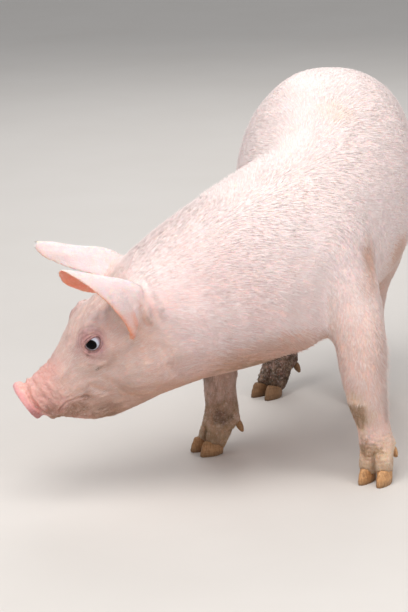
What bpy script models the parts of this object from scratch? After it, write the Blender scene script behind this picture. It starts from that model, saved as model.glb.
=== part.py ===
"""A young pink pig, life size, standing with its head lowered and turned to its right.

Metres, +Z up. The trunk runs along Y with the chest towards -Y, the pig's left side is +X, and the
soles stand on z = 0. The flesh is modelled whole, from lofts and muscle masses that a remesh joins, and
is then parted with thin cuts. Ears, eyes, nose disc, tail, hooves and dewclaws are solids of their own
that meet it with the same thin gap.
"""
import math

import bmesh
import bpy
import numpy as np
from mathutils import Matrix, Vector

# ---- driving dimensions ------------------------------------------------------------------------------
GAP = 0.0003  # between neighbouring solids
VOXEL = 0.0038  # of the remesh that joins the masses
SOFTEN_ROUNDS = 14  # of smoothing on the trunk; the head and feet take fewer
FLESH_RATIO = 0.0112  # share of the remeshed triangles that the body keeps
FACE_DECIMATION = 0.97  # weight of the thinning on the face, 1 elsewhere
RING_SIDES = 36
RING_STEP = 0.010  # distance between the rings of a loft
REGION_SIDES, REGION_STEP = 10, 0.050  # the same for the spaces that part the legs

HEAD_YAW = 201.0  # degrees, direction of the muzzle in plan
HEAD_PITCH = 37.0  # below the horizon
HEAD_ROLL = 12.0  # the poll leans to the pig's left
NOSE_AT = Vector((-0.234, -0.1225, 0.150))  # centre of the nose disc
NOSE_HALF_WIDTH, NOSE_HALF_HEIGHT, NOSE_THICKNESS = 0.0295, 0.0310, 0.0095
NOSE_TILT = -4  # degrees, the top further back than the bottom
NOSTRIL_SIDE, NOSTRIL_RADIUS, NOSTRIL_DEPTH = 0.0115, 0.0062, 0.012

EYE_RADIUS = 0.0125
EYE_AT = Vector((-0.1350, 0.0405, 0.0271))  # in the head's frame, on the left side
EYE_TURN = (12, 10)  # degrees that the gaze turns forward and up from straight sideways
LID_OPENING = (0.0124, 0.0088)  # half length and half height

EAR_LENGTH_ROWS, EAR_WIDTH_COLUMNS = 9, 7
EAR_THICKNESS = 0.0034
EAR_SWING = {"ear_left": 0, "ear_right": 7}  # degrees that each ear swings forward from its mirror image
EAR_DRAWN_IN = {"ear_left": 0.0, "ear_right": 1.0}  # how far the inner rim is drawn in, half-way along
EAR_TIP_RAISED = {"ear_left": 1.0, "ear_right": 0.35}  # how far the tip is turned up

HOOF_LENGTH, HOOF_WIDTH, HOOF_HEIGHT = 0.041, 0.0215, 0.0215
TOE_SPREAD = 0.0128  # from the foot's middle line to a hoof's
DEWCLAW_LENGTH, DEWCLAW_RADIUS = 0.0175, 0.0068

TAIL_ROOT = Vector((0.084, 0.538, 0.430))
TAIL_RADIUS = 0.0075
TAIL_LENGTH = 0.125
TAIL_STRAIGHT = 0.30  # share of its length before the curl starts
TAIL_CURL_TURN, TAIL_CURL_RADIUS = 400, 0.017  # degrees and metres

NECK_CUT = ((0.030, 0.020, 0.300), (-0.72, -0.62, -0.24))  # a point and the way to the head
HEAD_CUT = ((-0.232, 0.000, 0.000), (1.00, 0.00, 0.12))  # the same, in the head's frame


# ---- small tools -------------------------------------------------------------------------------------
def unit(v):
    v = Vector(v)
    return v / v.length


def plan(degrees):
    return Vector((math.cos(math.radians(degrees)), math.sin(math.radians(degrees)), 0))


def turned(x=0.0, y=0.0, z=0.0):
    """Rotation about X, then Y, then Z, in degrees."""
    return (
        Matrix.Rotation(math.radians(z), 4, "Z")
        @ Matrix.Rotation(math.radians(y), 4, "Y")
        @ Matrix.Rotation(math.radians(x), 4, "X")
    )


def spline(rows, t):
    """Catmull-Rom through equally spaced rows, at t from 0 to len(rows) - 1."""
    last = len(rows) - 1
    i = min(max(int(t), 0), last - 1)
    f = t - i
    p0, p1, p2, p3 = (rows[min(max(i + k, 0), last)] for k in (-1, 0, 1, 2))
    bend = 2 * p0 - 5 * p1 + 4 * p2 - p3
    swell = 3 * p1 - p0 - 3 * p2 + p3
    return 0.5 * (2 * p1 + (p2 - p0) * f + bend * f**2 + swell * f**3)


def steps_along(points, step=RING_STEP):
    """Spline parameters about a step apart, from the first point to the last."""
    steps = []
    for i, span in enumerate(np.linalg.norm(np.diff(points, axis=0), axis=1)):
        count = max(1, round(span / step))
        steps += [i + k / count for k in range(count)]
    return steps + [len(points) - 1]


def heading(points, t):
    last = len(points) - 1
    return Vector(spline(points, min(t + 0.02, last)) - spline(points, max(t - 0.02, 0)))


def tube(bm, rings):
    """Adds a closed loft through rings of equal count, capped at both ends."""
    loops = [[bm.verts.new(p) for p in ring] for ring in rings]
    for a, b in zip(loops, loops[1:]):
        for k in range(len(a)):
            j = (k + 1) % len(a)
            bm.faces.new((a[k], a[j], b[j], b[k]))
    bm.faces.new(loops[0][::-1])
    bm.faces.new(loops[-1])


def mesh_object(name, bm, collection):
    """Closes up a bmesh into an object with its normals outward."""
    bmesh.ops.recalc_face_normals(bm, faces=bm.faces[:])
    mesh = bpy.data.meshes.new(name)
    bm.to_mesh(mesh)
    bm.free()
    obj = bpy.data.objects.new(name, mesh)
    collection.objects.link(obj)
    return obj


def evaluated_mesh(obj):
    bpy.context.view_layer.update()
    graph = bpy.context.evaluated_depsgraph_get()
    mesh = bpy.data.meshes.new_from_object(obj.evaluated_get(graph))
    return mesh


def settle(obj):
    """Applies the modifiers of an object."""
    mesh = evaluated_mesh(obj)
    obj.modifiers.clear()
    obj.data = mesh


def boolean(obj, cutter, operation):
    modifier = obj.modifiers.new(operation.lower(), "BOOLEAN")
    modifier.operation = operation
    modifier.solver = "EXACT"
    modifier.object = cutter
    settle(obj)
    bm = bmesh.new()
    bm.from_mesh(obj.data)
    bmesh.ops.triangulate(bm, faces=bm.faces[:])
    bmesh.ops.remove_doubles(bm, verts=bm.verts[:], dist=0.00002)
    bmesh.ops.dissolve_degenerate(bm, edges=bm.edges[:], dist=0.00001)
    bm.to_mesh(obj.data)
    bm.free()


def copy_of(obj, name, collection):
    twin = bpy.data.objects.new(name, obj.data.copy())
    twin.matrix_world = obj.matrix_world
    collection.objects.link(twin)
    return twin


def grown(obj, name, distance):
    """A copy of a closed object, pushed out along its normals, for use as a cutter."""
    twin = copy_of(obj, name, CUTTERS)
    bm = bmesh.new()
    bm.from_mesh(twin.data)
    bm.normal_update()
    for vert, out in [(v, v.normal.copy()) for v in bm.verts]:
        vert.co += out * distance
    bm.to_mesh(twin.data)
    bm.free()
    return twin


def keep_side(obj, point, normal):
    """Cuts an object flat at a plane and keeps the side that the normal points away from."""
    into = obj.matrix_world.inverted()
    local_normal = (into.to_3x3() @ Vector(normal)).normalized()
    bm = bmesh.new()
    bm.from_mesh(obj.data)
    cut = bmesh.ops.bisect_plane(
        bm,
        geom=bm.verts[:] + bm.edges[:] + bm.faces[:],
        dist=1e-6,
        plane_co=into @ Vector(point),
        plane_no=local_normal,
        clear_outer=True,
    )
    edges = [e for e in cut["geom_cut"] if isinstance(e, bmesh.types.BMEdge)]
    bmesh.ops.triangle_fill(bm, edges=edges, use_beauty=True, normal=local_normal)
    bmesh.ops.triangulate(bm, faces=bm.faces[:])
    bmesh.ops.recalc_face_normals(bm, faces=bm.faces[:])
    bm.to_mesh(obj.data)
    bm.free()


def drop_crumbs(obj):
    """Keeps the largest connected shell of an object and removes the slivers that cuts leave."""
    bm = bmesh.new()
    bm.from_mesh(obj.data)
    unseen = set(bm.verts)
    shells = []
    while unseen:
        front = [unseen.pop()]
        shell = list(front)
        while front:
            vert = front.pop()
            near = {edge.other_vert(vert) for edge in vert.link_edges} & unseen
            unseen -= near
            front += near
            shell += near
        shells.append(shell)
    shells.sort(key=len)
    bmesh.ops.delete(bm, geom=[vert for shell in shells[:-1] for vert in shell], context="VERTS")
    bm.to_mesh(obj.data)
    bm.free()


def split(obj, name, point, normal):
    """Parts an object at a plane, leaving the gap. The side ahead of the normal becomes a new object."""
    ahead = copy_of(obj, name, PIG)
    half = unit(normal) * GAP / 2
    keep_side(obj, Vector(point) - half, normal)
    keep_side(ahead, Vector(point) + half, -Vector(normal))
    return ahead


# ---- flesh -------------------------------------------------------------------------------------------
def section(crest, keel, forward, half_width, widest, square):
    """A ring of flesh between its crest and keel. widest is the height of its broadest place, from the
    keel at 0 to the crest at 1, and the sides grow flatter as square falls below 1."""
    crest, keel = Vector(crest), Vector(keel)
    up = unit(crest - keel)
    side = unit(up.cross(forward))
    tall = (crest - keel).length
    middle = keel + up * tall * widest
    ring = []
    for k in range(RING_SIDES):
        angle = 2 * math.pi * k / RING_SIDES
        across = half_width * math.copysign(abs(math.cos(angle)) ** square, math.cos(angle))
        reach = tall * (1 - widest) if math.sin(angle) > 0 else -tall * widest
        ring.append(middle + side * across + up * reach * abs(math.sin(angle)) ** square)
    return ring


def flesh_loft(bm, stations, place=Matrix.Identity(4)):
    """stations: rows of crest, keel, half width, widest and square."""
    rows = []
    for crest, keel, *rest in stations:
        rows.append([*(place @ Vector(crest)), *(place @ Vector(keel)), *rest])
    rows = np.array(rows)
    middles = (rows[:, 0:3] + rows[:, 3:6]) / 2
    rings = []
    for t in steps_along(middles):
        now = spline(rows, t)
        rings.append(section(now[0:3], now[3:6], heading(middles, t), *now[6:9]))
    tube(bm, rings)


def limb_loft(bm, stations, toward, sides=RING_SIDES, step=RING_STEP):
    """stations: rows of centre, radius across and radius fore and aft. toward is the way the toes point."""
    rows = np.array([[*centre, across, deep] for centre, across, deep in stations])
    rings = []
    for t in steps_along(rows[:, 0:3], step):
        now = spline(rows, t)
        side = unit(heading(rows[:, 0:3], t).cross(toward))
        fore = unit(side.cross(heading(rows[:, 0:3], t)))
        centre, across, deep = Vector(now[0:3]), side * now[3], fore * now[4]
        angles = [2 * math.pi * k / sides for k in range(sides)]
        rings.append([centre + across * math.cos(a) + deep * math.sin(a) for a in angles])
    tube(bm, rings)


def mass(bm, centre, radii, turn=(0, 0, 0), place=Matrix.Identity(4)):
    """Adds an ellipsoid of muscle, fat or bone under the skin."""
    matrix = place @ Matrix.Translation(centre) @ turned(*turn) @ Matrix.Diagonal((*radii, 1))
    bmesh.ops.create_uvsphere(bm, u_segments=28, v_segments=18, radius=1, matrix=matrix)


# crest, keel, half width, height of the widest place and squareness, from the tail to the throat
TRUNK = {
    "tail root": ((0.084, 0.540, 0.455), (0.084, 0.545, 0.395), 0.036, 0.50, 1.00),
    "rump": ((0.090, 0.508, 0.500), (0.090, 0.512, 0.330), 0.092, 0.52, 0.95),
    "hip": ((0.100, 0.435, 0.534), (0.098, 0.430, 0.272), 0.118, 0.54, 0.90),
    "loin": ((0.119, 0.350, 0.555), (0.117, 0.340, 0.246), 0.128, 0.50, 0.90),
    "ribs": ((0.130, 0.260, 0.547), (0.127, 0.250, 0.226), 0.138, 0.50, 0.86),
    "girth": ((0.121, 0.180, 0.514), (0.124, 0.160, 0.203), 0.123, 0.54, 0.96),
    "withers": ((0.086, 0.118, 0.472), (0.126, 0.080, 0.190), 0.108, 0.52, 1.00),
    "neck base": ((0.022, 0.072, 0.438), (0.078, -0.002, 0.181), 0.102, 0.46, 0.94),
    "mid neck": ((-0.040, 0.012, 0.398), (0.000, -0.030, 0.165), 0.088, 0.46, 0.94),
    "nape": ((-0.090, -0.045, 0.356), (-0.055, -0.062, 0.152), 0.076, 0.46, 0.94),
    "under the poll": ((-0.112, -0.082, 0.310), (-0.092, -0.082, 0.168), 0.058, 0.48, 1.00),
}

# back from the nose disc, crest, keel, half width, height of the widest place, squareness; head frame
HEAD = (
    (0.262, 0.060, -0.098, 0.060, 0.48, 0.95),
    (0.225, 0.064, -0.120, 0.074, 0.46, 0.90),
    (0.185, 0.059, -0.124, 0.073, 0.45, 0.89),
    (0.150, 0.056, -0.119, 0.064, 0.47, 0.85),
    (0.120, 0.048, -0.113, 0.053, 0.51, 0.84),
    (0.090, 0.035, -0.107, 0.043, 0.56, 0.86),
    (0.062, 0.025, -0.093, 0.036, 0.60, 0.88),
    (0.038, 0.023, -0.071, 0.031, 0.62, 0.92),
    (0.020, 0.0225, -0.046, 0.0275, 0.58, 0.98),
    (0.004, 0.024, -0.027, 0.026, 0.50, 1.00),
)

# the way the toes point in plan, and the centre and radii of each part of the leg from the top down
LEGS = {
    "foreleg_left": (
        -105,
        {
            "shoulder": ((0.174, 0.085, 0.350), 0.040, 0.066),
            "elbow": ((0.199, 0.072, 0.265), 0.041, 0.056),
            "forearm": ((0.2175, 0.052, 0.212), 0.0380, 0.045),
            "above knee": ((0.2205, 0.044, 0.162), 0.0345, 0.038),
            "knee": ((0.2255, 0.042, 0.125), 0.0300, 0.032),
            "shin": ((0.232, 0.047, 0.093), 0.0250, 0.026),
            "fetlock": ((0.2375, 0.050, 0.060), 0.0258, 0.027),
            "pastern": ((0.2385, 0.043, 0.036), 0.0242, 0.024),
            "sole": ((0.2390, 0.036, 0.000), 0.0240, 0.020),
        },
    ),
    "foreleg_right": (
        -135,
        {
            "shoulder": ((0.040, 0.108, 0.345), 0.040, 0.066),
            "elbow": ((0.010, 0.138, 0.265), 0.042, 0.056),
            "forearm": ((-0.006, 0.142, 0.212), 0.0365, 0.044),
            "above knee": ((-0.013, 0.141, 0.162), 0.0310, 0.035),
            "knee": ((-0.0165, 0.139, 0.125), 0.0270, 0.030),
            "shin": ((-0.0165, 0.141, 0.093), 0.0238, 0.026),
            "fetlock": ((-0.0165, 0.141, 0.062), 0.0250, 0.027),
            "pastern": ((-0.0240, 0.137, 0.038), 0.0238, 0.024),
            "sole": ((-0.0350, 0.131, 0.000), 0.0240, 0.020),
        },
    ),
    "hindleg_left": (
        -100,
        {
            "hip": ((0.144, 0.452, 0.395), 0.052, 0.088),
            "thigh": ((0.163, 0.428, 0.325), 0.058, 0.092),
            "stifle": ((0.171, 0.416, 0.268), 0.050, 0.076),
            "gaskin": ((0.161, 0.444, 0.215), 0.0385, 0.055),
            "hock": ((0.151, 0.472, 0.162), 0.0285, 0.037),
            "cannon": ((0.150, 0.462, 0.108), 0.0252, 0.0285),
            "fetlock": ((0.150, 0.443, 0.062), 0.0250, 0.027),
            "pastern": ((0.1500, 0.428, 0.038), 0.0238, 0.024),
            "sole": ((0.1500, 0.412, 0.000), 0.0240, 0.020),
        },
    ),
    "hindleg_right": (
        -118,
        {
            "hip": ((0.044, 0.452, 0.395), 0.052, 0.088),
            "thigh": ((0.027, 0.428, 0.325), 0.058, 0.092),
            "stifle": ((0.016, 0.418, 0.268), 0.050, 0.076),
            "gaskin": ((0.021, 0.450, 0.215), 0.0385, 0.055),
            "hock": ((0.023, 0.482, 0.162), 0.0285, 0.037),
            "cannon": ((0.016, 0.474, 0.108), 0.0252, 0.0285),
            "fetlock": ((0.004, 0.455, 0.060), 0.0250, 0.027),
            "pastern": ((-0.0020, 0.440, 0.036), 0.0238, 0.024),
            "sole": ((-0.0100, 0.422, 0.000), 0.0240, 0.020),
        },
    ),
}


def add_trunk(bm):
    flesh_loft(bm, list(TRUNK.values()))
    for side in (1, -1):
        mass(bm, (0.092 + side * 0.062, 0.448, 0.385), (0.062, 0.092, 0.118), (-18, side * 6, 0))
        mass(bm, (0.100 + side * 0.085, 0.390, 0.300), (0.040, 0.070, 0.080), (20, 0, 0))
    mass(bm, (0.168, 0.090, 0.320), (0.058, 0.076, 0.098), (14, 8, -14))
    mass(bm, (0.050, 0.122, 0.318), (0.058, 0.076, 0.096), (14, -8, -26))
    mass(bm, (0.116, 0.030, 0.232), (0.056, 0.048, 0.042), (0, 0, -25))


def add_head(bm, place):
    flesh_loft(bm, [((-back, 0, top), (-back, 0, low), *rest) for back, top, low, *rest in HEAD], place)
    for side in (1, -1):
        mass(bm, (-0.175, side * 0.044, -0.050), (0.060, 0.036, 0.052), (0, -14, 0), place)
        mass(bm, (-0.160, side * 0.052, 0.004), (0.046, 0.016, 0.020), (0, 14, -side * 16), place)
        mass(bm, (-0.139, side * 0.034, 0.0435), (0.026, 0.013, 0.0105), (0, 24, -side * 10), place)
        mass(bm, (-0.214, side * 0.052, 0.030), (0.032, 0.026, 0.040), (0, 30, 0), place)
        eye = Vector((EYE_AT.x, side * EYE_AT.y, EYE_AT.z))
        mass(bm, eye + Vector((0, side * 0.0012, 0)), (0.0205, 0.0150, 0.0185), (0, 20, 0), place)
        mass(bm, (-0.050, side * 0.019, -0.028), (0.032, 0.014, 0.017), (0, 24, -side * 4), place)
    mass(bm, (-0.0235, 0, -0.0375), (0.0175, 0.0185, 0.0110), (0, 12, 0), place)


def add_leg(bm, toes_toward, stations):
    """The leg down to the fetlock, then two toes that end inside the hooves."""
    toward = plan(toes_toward)
    side = Vector((0, 0, 1)).cross(toward)
    rows = list(stations.values())[:-1]
    limb_loft(bm, rows, toward)
    bend = stations.get("hock") or stations["elbow"]
    reach, size = (0.020, (0.013, 0.017, 0.026)) if "hock" in stations else (0.036, (0.022, 0.024, 0.030))
    mass(bm, Vector(bend[0]) - toward * reach + Vector((0, 0, 0.012)), size, (0, 0, toes_toward + 90))
    fetlock, pastern, sole = (stations[name][0] for name in ("fetlock", "pastern", "sole"))
    for hand in (1, -1):
        out = side * hand * TOE_SPREAD
        heel = -toward * 0.006
        toe = [
            (Vector(fetlock) + out * 0.70, 0.0135, 0.0200),
            (Vector(pastern) + out * 0.90, 0.0130, 0.0190),
            (Vector(pastern).lerp(Vector(sole), 0.50) + out, 0.0118, 0.0185),
            (Vector(sole) + out + heel + Vector((0, 0, 0.0075)), 0.0092, 0.0135),
        ]
        limb_loft(bm, toe, toward)
        knuckle = Vector(fetlock) + side * hand * 0.0145 - toward * 0.0160 + Vector((0, 0, -0.008))
        mass(bm, knuckle, (0.0108, 0.0112, 0.0165))


def soften(mesh, rounds, strength):
    """Laplacian smoothing of a mesh, with a strength from 0 to 1 at each vertex."""
    count = len(mesh.vertices)
    points = np.empty(count * 3)
    mesh.vertices.foreach_get("co", points)
    points = points.reshape(-1, 3)
    ends = np.empty(len(mesh.edges) * 2, np.int64)
    mesh.edges.foreach_get("vertices", ends)
    a, b = ends.reshape(-1, 2).T
    valence = np.bincount(np.concatenate((a, b)), minlength=count)[:, None]
    for _ in range(rounds):
        total = np.empty_like(points)
        for axis in range(3):
            column = points[:, axis]
            total[:, axis] = np.bincount(a, column[b], count) + np.bincount(b, column[a], count)
        points += (total / valence - points) * 0.6 * strength[:, None]
    mesh.vertices.foreach_set("co", points.ravel())
    mesh.update()


def world_points(mesh):
    points = np.empty(len(mesh.vertices) * 3)
    mesh.vertices.foreach_get("co", points)
    return points.reshape(-1, 3)


def build_flesh(place):
    """The whole body as one closed skin: masses joined by a remesh, softened, and thinned out away from
    the face."""
    bm = bmesh.new()
    add_trunk(bm)
    add_head(bm, place)
    for toes_toward, stations in LEGS.values():
        add_leg(bm, toes_toward, stations)
    body = mesh_object("trunk", bm, PIG)
    remesh = body.modifiers.new("join", "REMESH")
    remesh.mode = "VOXEL"
    remesh.voxel_size = VOXEL
    settle(body)

    points = world_points(body.data)
    from_face = np.linalg.norm(points - np.array(place @ Vector((-0.07, 0, -0.02))), axis=1)
    face = np.clip((from_face - 0.07) / 0.09, 0, 1)
    feet = np.clip((points[:, 2] - 0.03) / 0.10, 0, 1)
    soften(body.data, SOFTEN_ROUNDS, 0.30 + 0.70 * np.minimum(face, feet))
    soften(body.data, SOFTEN_ROUNDS, np.minimum(face, feet))

    coarse = body.vertex_groups.new(name="coarse")
    weights = np.minimum(np.clip((from_face - 0.10) / 0.10, 0, 1), 0.35 + 0.65 * feet)
    for index, weight in enumerate(weights):
        coarse.add([index], FACE_DECIMATION + (1 - FACE_DECIMATION) * float(weight), "REPLACE")
    thin = body.modifiers.new("thin out", "DECIMATE")
    thin.ratio = FLESH_RATIO
    thin.vertex_group = "coarse"
    thin.vertex_group_factor = 0.5
    settle(body)
    body.vertex_groups.clear()
    return body


# ---- solids of their own -----------------------------------------------------------------------------
def build_nose(place):
    """The nose disc: a thick rounded plate with a raised rim and two nostrils, its face towards +X."""
    profile = ((-1.00, 0.88), (-0.79, 0.965), (-0.42, 1.0), (-0.05, 0.965), (0.13, 0.86))
    sides = 20
    bm = bmesh.new()
    rings = []
    for depth, scale in profile:
        ring = []
        for k in range(sides):
            angle = 2 * math.pi * k / sides
            across = NOSE_HALF_WIDTH * scale * math.cos(angle)
            up = NOSE_HALF_HEIGHT * scale * (math.sin(angle) - 0.05 * math.cos(2 * angle))
            ring.append(Vector((depth * NOSE_THICKNESS, across, up)))
        rings.append(ring)
    tube(bm, rings)
    nose = mesh_object("nose_disc", bm, PIG)
    place = place @ turned(y=NOSE_TILT)
    nose.matrix_world = place
    for side in (1, -1):
        bm = bmesh.new()
        shape = place @ Matrix.Translation((0, side * NOSTRIL_SIDE, -0.001)) @ turned(z=side * 14)
        oval = Matrix.Diagonal((NOSTRIL_DEPTH, 0.82 * NOSTRIL_RADIUS, NOSTRIL_RADIUS * 1.15, 1))
        bmesh.ops.create_uvsphere(bm, u_segments=10, v_segments=6, radius=1, matrix=shape @ oval)
        nostril = mesh_object("nostril cutter", bm, CUTTERS)
        boolean(nose, nostril, "DIFFERENCE")
    return nose


# the left ear in the head's frame, from inside its root to its tip
EAR_OUTER_RIM = (
    (-0.176, 0.054, -0.012),
    (-0.182, 0.074, 0.010),
    (-0.190, 0.084, 0.045),
    (-0.190, 0.088, 0.085),
    (-0.183, 0.087, 0.122),
    (-0.171, 0.079, 0.149),
)
EAR_BACK = (
    (-0.226, 0.042, 0.022),
    (-0.236, 0.062, 0.050),
    (-0.226, 0.066, 0.080),
    (-0.207, 0.066, 0.106),
    (-0.187, 0.070, 0.132),
    (-0.169, 0.075, 0.153),
)
EAR_INNER_RIM = (
    (-0.196, 0.026, 0.048),
    (-0.192, 0.033, 0.068),
    (-0.177, 0.041, 0.088),
    (-0.166, 0.050, 0.110),
    (-0.159, 0.060, 0.132),
    (-0.162, 0.070, 0.149),
)


def ear_point(name, along, across):
    """A point of an ear's middle surface, as on the left: along runs from the root at 0 to the tip at 1,
    across from the outer rim at 0, round the back, to the inner rim at 1."""
    last = len(EAR_BACK) - 1
    rims = (EAR_OUTER_RIM, EAR_BACK, EAR_INNER_RIM)
    outer, back, inner = (spline(np.array(rim), along * last) for rim in rims)
    inner = inner + np.array((-0.0060, 0.0040, 0.0050)) * EAR_DRAWN_IN[name] * math.sin(math.pi * along)
    raised = np.array((-0.0045, 0, 0.0055)) * EAR_TIP_RAISED[name] * max(0.0, (along - 0.45) / 0.55) ** 1.5
    outer, back, inner = outer + raised, back + raised, inner + raised
    pull = 2 * back - (outer + inner) / 2
    return Vector((1 - across) ** 2 * outer + 2 * across * (1 - across) * pull + across**2 * inner)


def build_ear(name, side, place):
    bm = bmesh.new()
    root = Matrix.Translation((EAR_BACK[0][0], 0, EAR_BACK[0][2]))
    swing = root @ turned(y=EAR_SWING[name]) @ root.inverted()
    rows = []
    for i in range(EAR_LENGTH_ROWS + 1):
        row = []
        for k in range(EAR_WIDTH_COLUMNS + 1):
            p = ear_point(name, i / EAR_LENGTH_ROWS, k / EAR_WIDTH_COLUMNS)
            row.append(bm.verts.new(swing @ Vector((p.x, side * p.y, p.z))))
        rows.append(row)
    for lower, upper in zip(rows, rows[1:]):
        for k in range(EAR_WIDTH_COLUMNS):
            bm.faces.new((lower[k], lower[k + 1], upper[k + 1], upper[k]))
    ear = mesh_object(name, bm, PIG)
    ear.matrix_world = place
    thick = ear.modifiers.new("thickness", "SOLIDIFY")
    thick.thickness = EAR_THICKNESS
    thick.offset = 0
    thick.use_even_offset = True
    settle(ear)
    return ear


def build_eye(name, side, place):
    bm = bmesh.new()
    bmesh.ops.create_uvsphere(bm, u_segments=12, v_segments=8, radius=EYE_RADIUS)
    eye = mesh_object(name, bm, PIG)
    eye.matrix_world = place @ Matrix.Translation((EYE_AT.x, side * EYE_AT.y, EYE_AT.z))
    return eye


def build_lid_opening(side, place):
    """The almond between the lids, as a cutter."""
    forward, up = EYE_TURN
    bm = bmesh.new()
    at = Matrix.Translation((EYE_AT.x, side * EYE_AT.y, EYE_AT.z))
    gaze = turned(z=side * (90 - forward)) @ turned(y=-up)
    almond = turned(x=side * 24) @ Matrix.Diagonal((0.014, *LID_OPENING, 1))
    matrix = place @ at @ gaze @ Matrix.Translation((0.016, 0, 0)) @ almond
    bmesh.ops.create_uvsphere(bm, u_segments=14, v_segments=8, radius=1, matrix=matrix)
    return mesh_object("lid opening", bm, CUTTERS)


def hoof_ring(height, length, width, back, tilt, hand):
    """One level of a claw in the foot's frame, +X to the toe: blunt at the heel and bowed outward."""
    ring = []
    for k in range(12):
        angle = 2 * math.pi * k / 12
        x = length / 2 * math.cos(angle)
        bow = 1.0 if math.sin(angle) * hand > 0 else 0.80
        y = width / 2 * math.sin(angle) * bow * (1 - 0.30 * math.cos(angle))
        ring.append(Vector((x + back, y, height + tilt * x)))
    return ring


def build_hoof(name, foot, hand, grow=0.0, collection=None):
    """One claw with a flat sole."""
    bm = bmesh.new()
    long, wide, tall = HOOF_LENGTH + 2 * grow, HOOF_WIDTH + 2 * grow, HOOF_HEIGHT + grow
    rings = [
        hoof_ring(-grow, long * 0.93, wide * 0.92, 0.000, 0, hand),
        hoof_ring(0.0018 - grow * 0.5, long, wide, 0.000, 0, hand),
        hoof_ring(tall * 0.55, long * 0.93, wide * 1.0, -0.0022, 0.05, hand),
        hoof_ring(tall * 0.86, long * 0.80, wide * 0.93, -0.0046, 0.22, hand),
    ]
    tube(bm, rings)
    hoof = mesh_object(name, bm, collection or PIG)
    hoof.matrix_world = foot @ Matrix.Translation((0.004, hand * TOE_SPREAD, 0)) @ turned(z=hand * 5)
    return hoof


def build_dewclaw(name, fetlock, hand, grow=0.0, collection=None):
    """A small claw behind the pastern that points down and back."""
    bm = bmesh.new()
    rings = []
    for along, scale in ((0.0, 0.80), (0.3, 1.0), (0.72, 0.76), (1.0, 0.30)):
        radius = DEWCLAW_RADIUS * scale + grow
        reach = DEWCLAW_LENGTH * along + grow * (2 * along - 1)
        angles = [2 * math.pi * k / 8 for k in range(8)]
        rings.append([Vector((reach, radius * math.cos(a), 0.85 * radius * math.sin(a))) for a in angles])
    tube(bm, rings)
    claw = mesh_object(name, bm, collection or PIG)
    aim = turned(z=180 - hand * 28) @ turned(y=66)
    claw.matrix_world = fetlock @ Matrix.Translation((-0.0185, hand * 0.0165, -0.0150)) @ aim
    return claw


def frame_at(centre, toes_toward):
    """A level frame with its +X towards the toes."""
    return Matrix.Translation(centre) @ turned(z=toes_toward)


def build_tail():
    """A short tail that hangs in one loose curl, as a curve with a round section."""
    points = []
    count = 18
    for k in range(count + 1):
        t = k / count
        hung = min(t / TAIL_STRAIGHT, 1)
        curl = max(0.0, t - TAIL_STRAIGHT) / (1 - TAIL_STRAIGHT)
        angle = curl * math.radians(TAIL_CURL_TURN)
        radius = TAIL_CURL_RADIUS * (1 - 0.25 * curl)
        drop = TAIL_LENGTH * (0.30 * hung + 0.42 * curl)
        out = 0.020 * math.sin(hung * math.pi / 2) + radius * (1 - math.cos(angle)) * 0.8
        points.append(TAIL_ROOT + Vector((radius * math.sin(angle), out - 0.012, -drop)))
    curve = bpy.data.curves.new("tail", "CURVE")
    curve.dimensions = "3D"
    curve.bevel_depth = TAIL_RADIUS
    curve.bevel_resolution = 1
    curve.use_fill_caps = True
    line = curve.splines.new("POLY")
    line.points.add(count)
    for k, point in enumerate(points):
        line.points[k].co = (*point, 1)
        line.points[k].radius = 1.25 - 0.80 * (k / count) ** 0.8
    strand = bpy.data.objects.new("tail curve", curve)
    PIG.objects.link(strand)
    mesh = evaluated_mesh(strand)
    bpy.data.objects.remove(strand, do_unlink=True)
    tail = bpy.data.objects.new("tail", mesh)
    PIG.objects.link(tail)
    bm = bmesh.new()
    bm.from_mesh(mesh)
    bmesh.ops.remove_doubles(bm, verts=bm.verts[:], dist=0.00005)
    bmesh.ops.recalc_face_normals(bm, faces=bm.faces[:])
    bm.to_mesh(mesh)
    bm.free()
    return tail


# ---- parting the flesh -------------------------------------------------------------------------------
def leg_region(name, toes_toward, stations, grow=0.0):
    """The space that a leg fills, up to a dome inside the shoulder or the ham."""
    toward = plan(toes_toward)
    outward = Vector((1 if "_left" in name else -1, 0, 0))
    bm = bmesh.new()
    rows = list(stations.values())
    (top, wide, deep), (second, *_) = rows[0], rows[1]
    top = Vector(top) + outward * 0.022
    crown = top + (top - Vector(second)) * 0.30
    region = [
        (crown, wide * 0.30 + grow, deep * 0.30 + grow),
        (top.lerp(crown, 0.75), wide * 0.95 + grow, deep * 0.80 + grow),
        (top, wide * 1.35 + grow, deep * 1.12 + grow),
    ]
    for k, (centre, across, fore_aft) in enumerate(rows[1:-1]):
        centre = Vector(centre) + outward * (0.010 if k == 0 else 0)
        region.append((centre, across * 1.45 + grow, fore_aft * (1.25 if k < 2 else 1.5) + grow))
    region.append((Vector(rows[-1][0]) + Vector((0, 0, -0.02)), 0.042 + grow, 0.062 + grow))
    limb_loft(bm, region, toward, REGION_SIDES, REGION_STEP)
    return mesh_object(name, bm, CUTTERS)


def part_legs(body):
    for name, (toes_toward, stations) in LEGS.items():
        leg = copy_of(body, name + "_upper", PIG)
        boolean(leg, leg_region(name + " region", toes_toward, stations), "INTERSECT")
        boolean(body, leg_region(name + " clearance", toes_toward, stations, GAP), "DIFFERENCE")
        bend = "knee" if name.startswith("fore") else "hock"
        split(leg, name + "_lower", stations[bend][0], (0, 0, -1))


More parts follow.
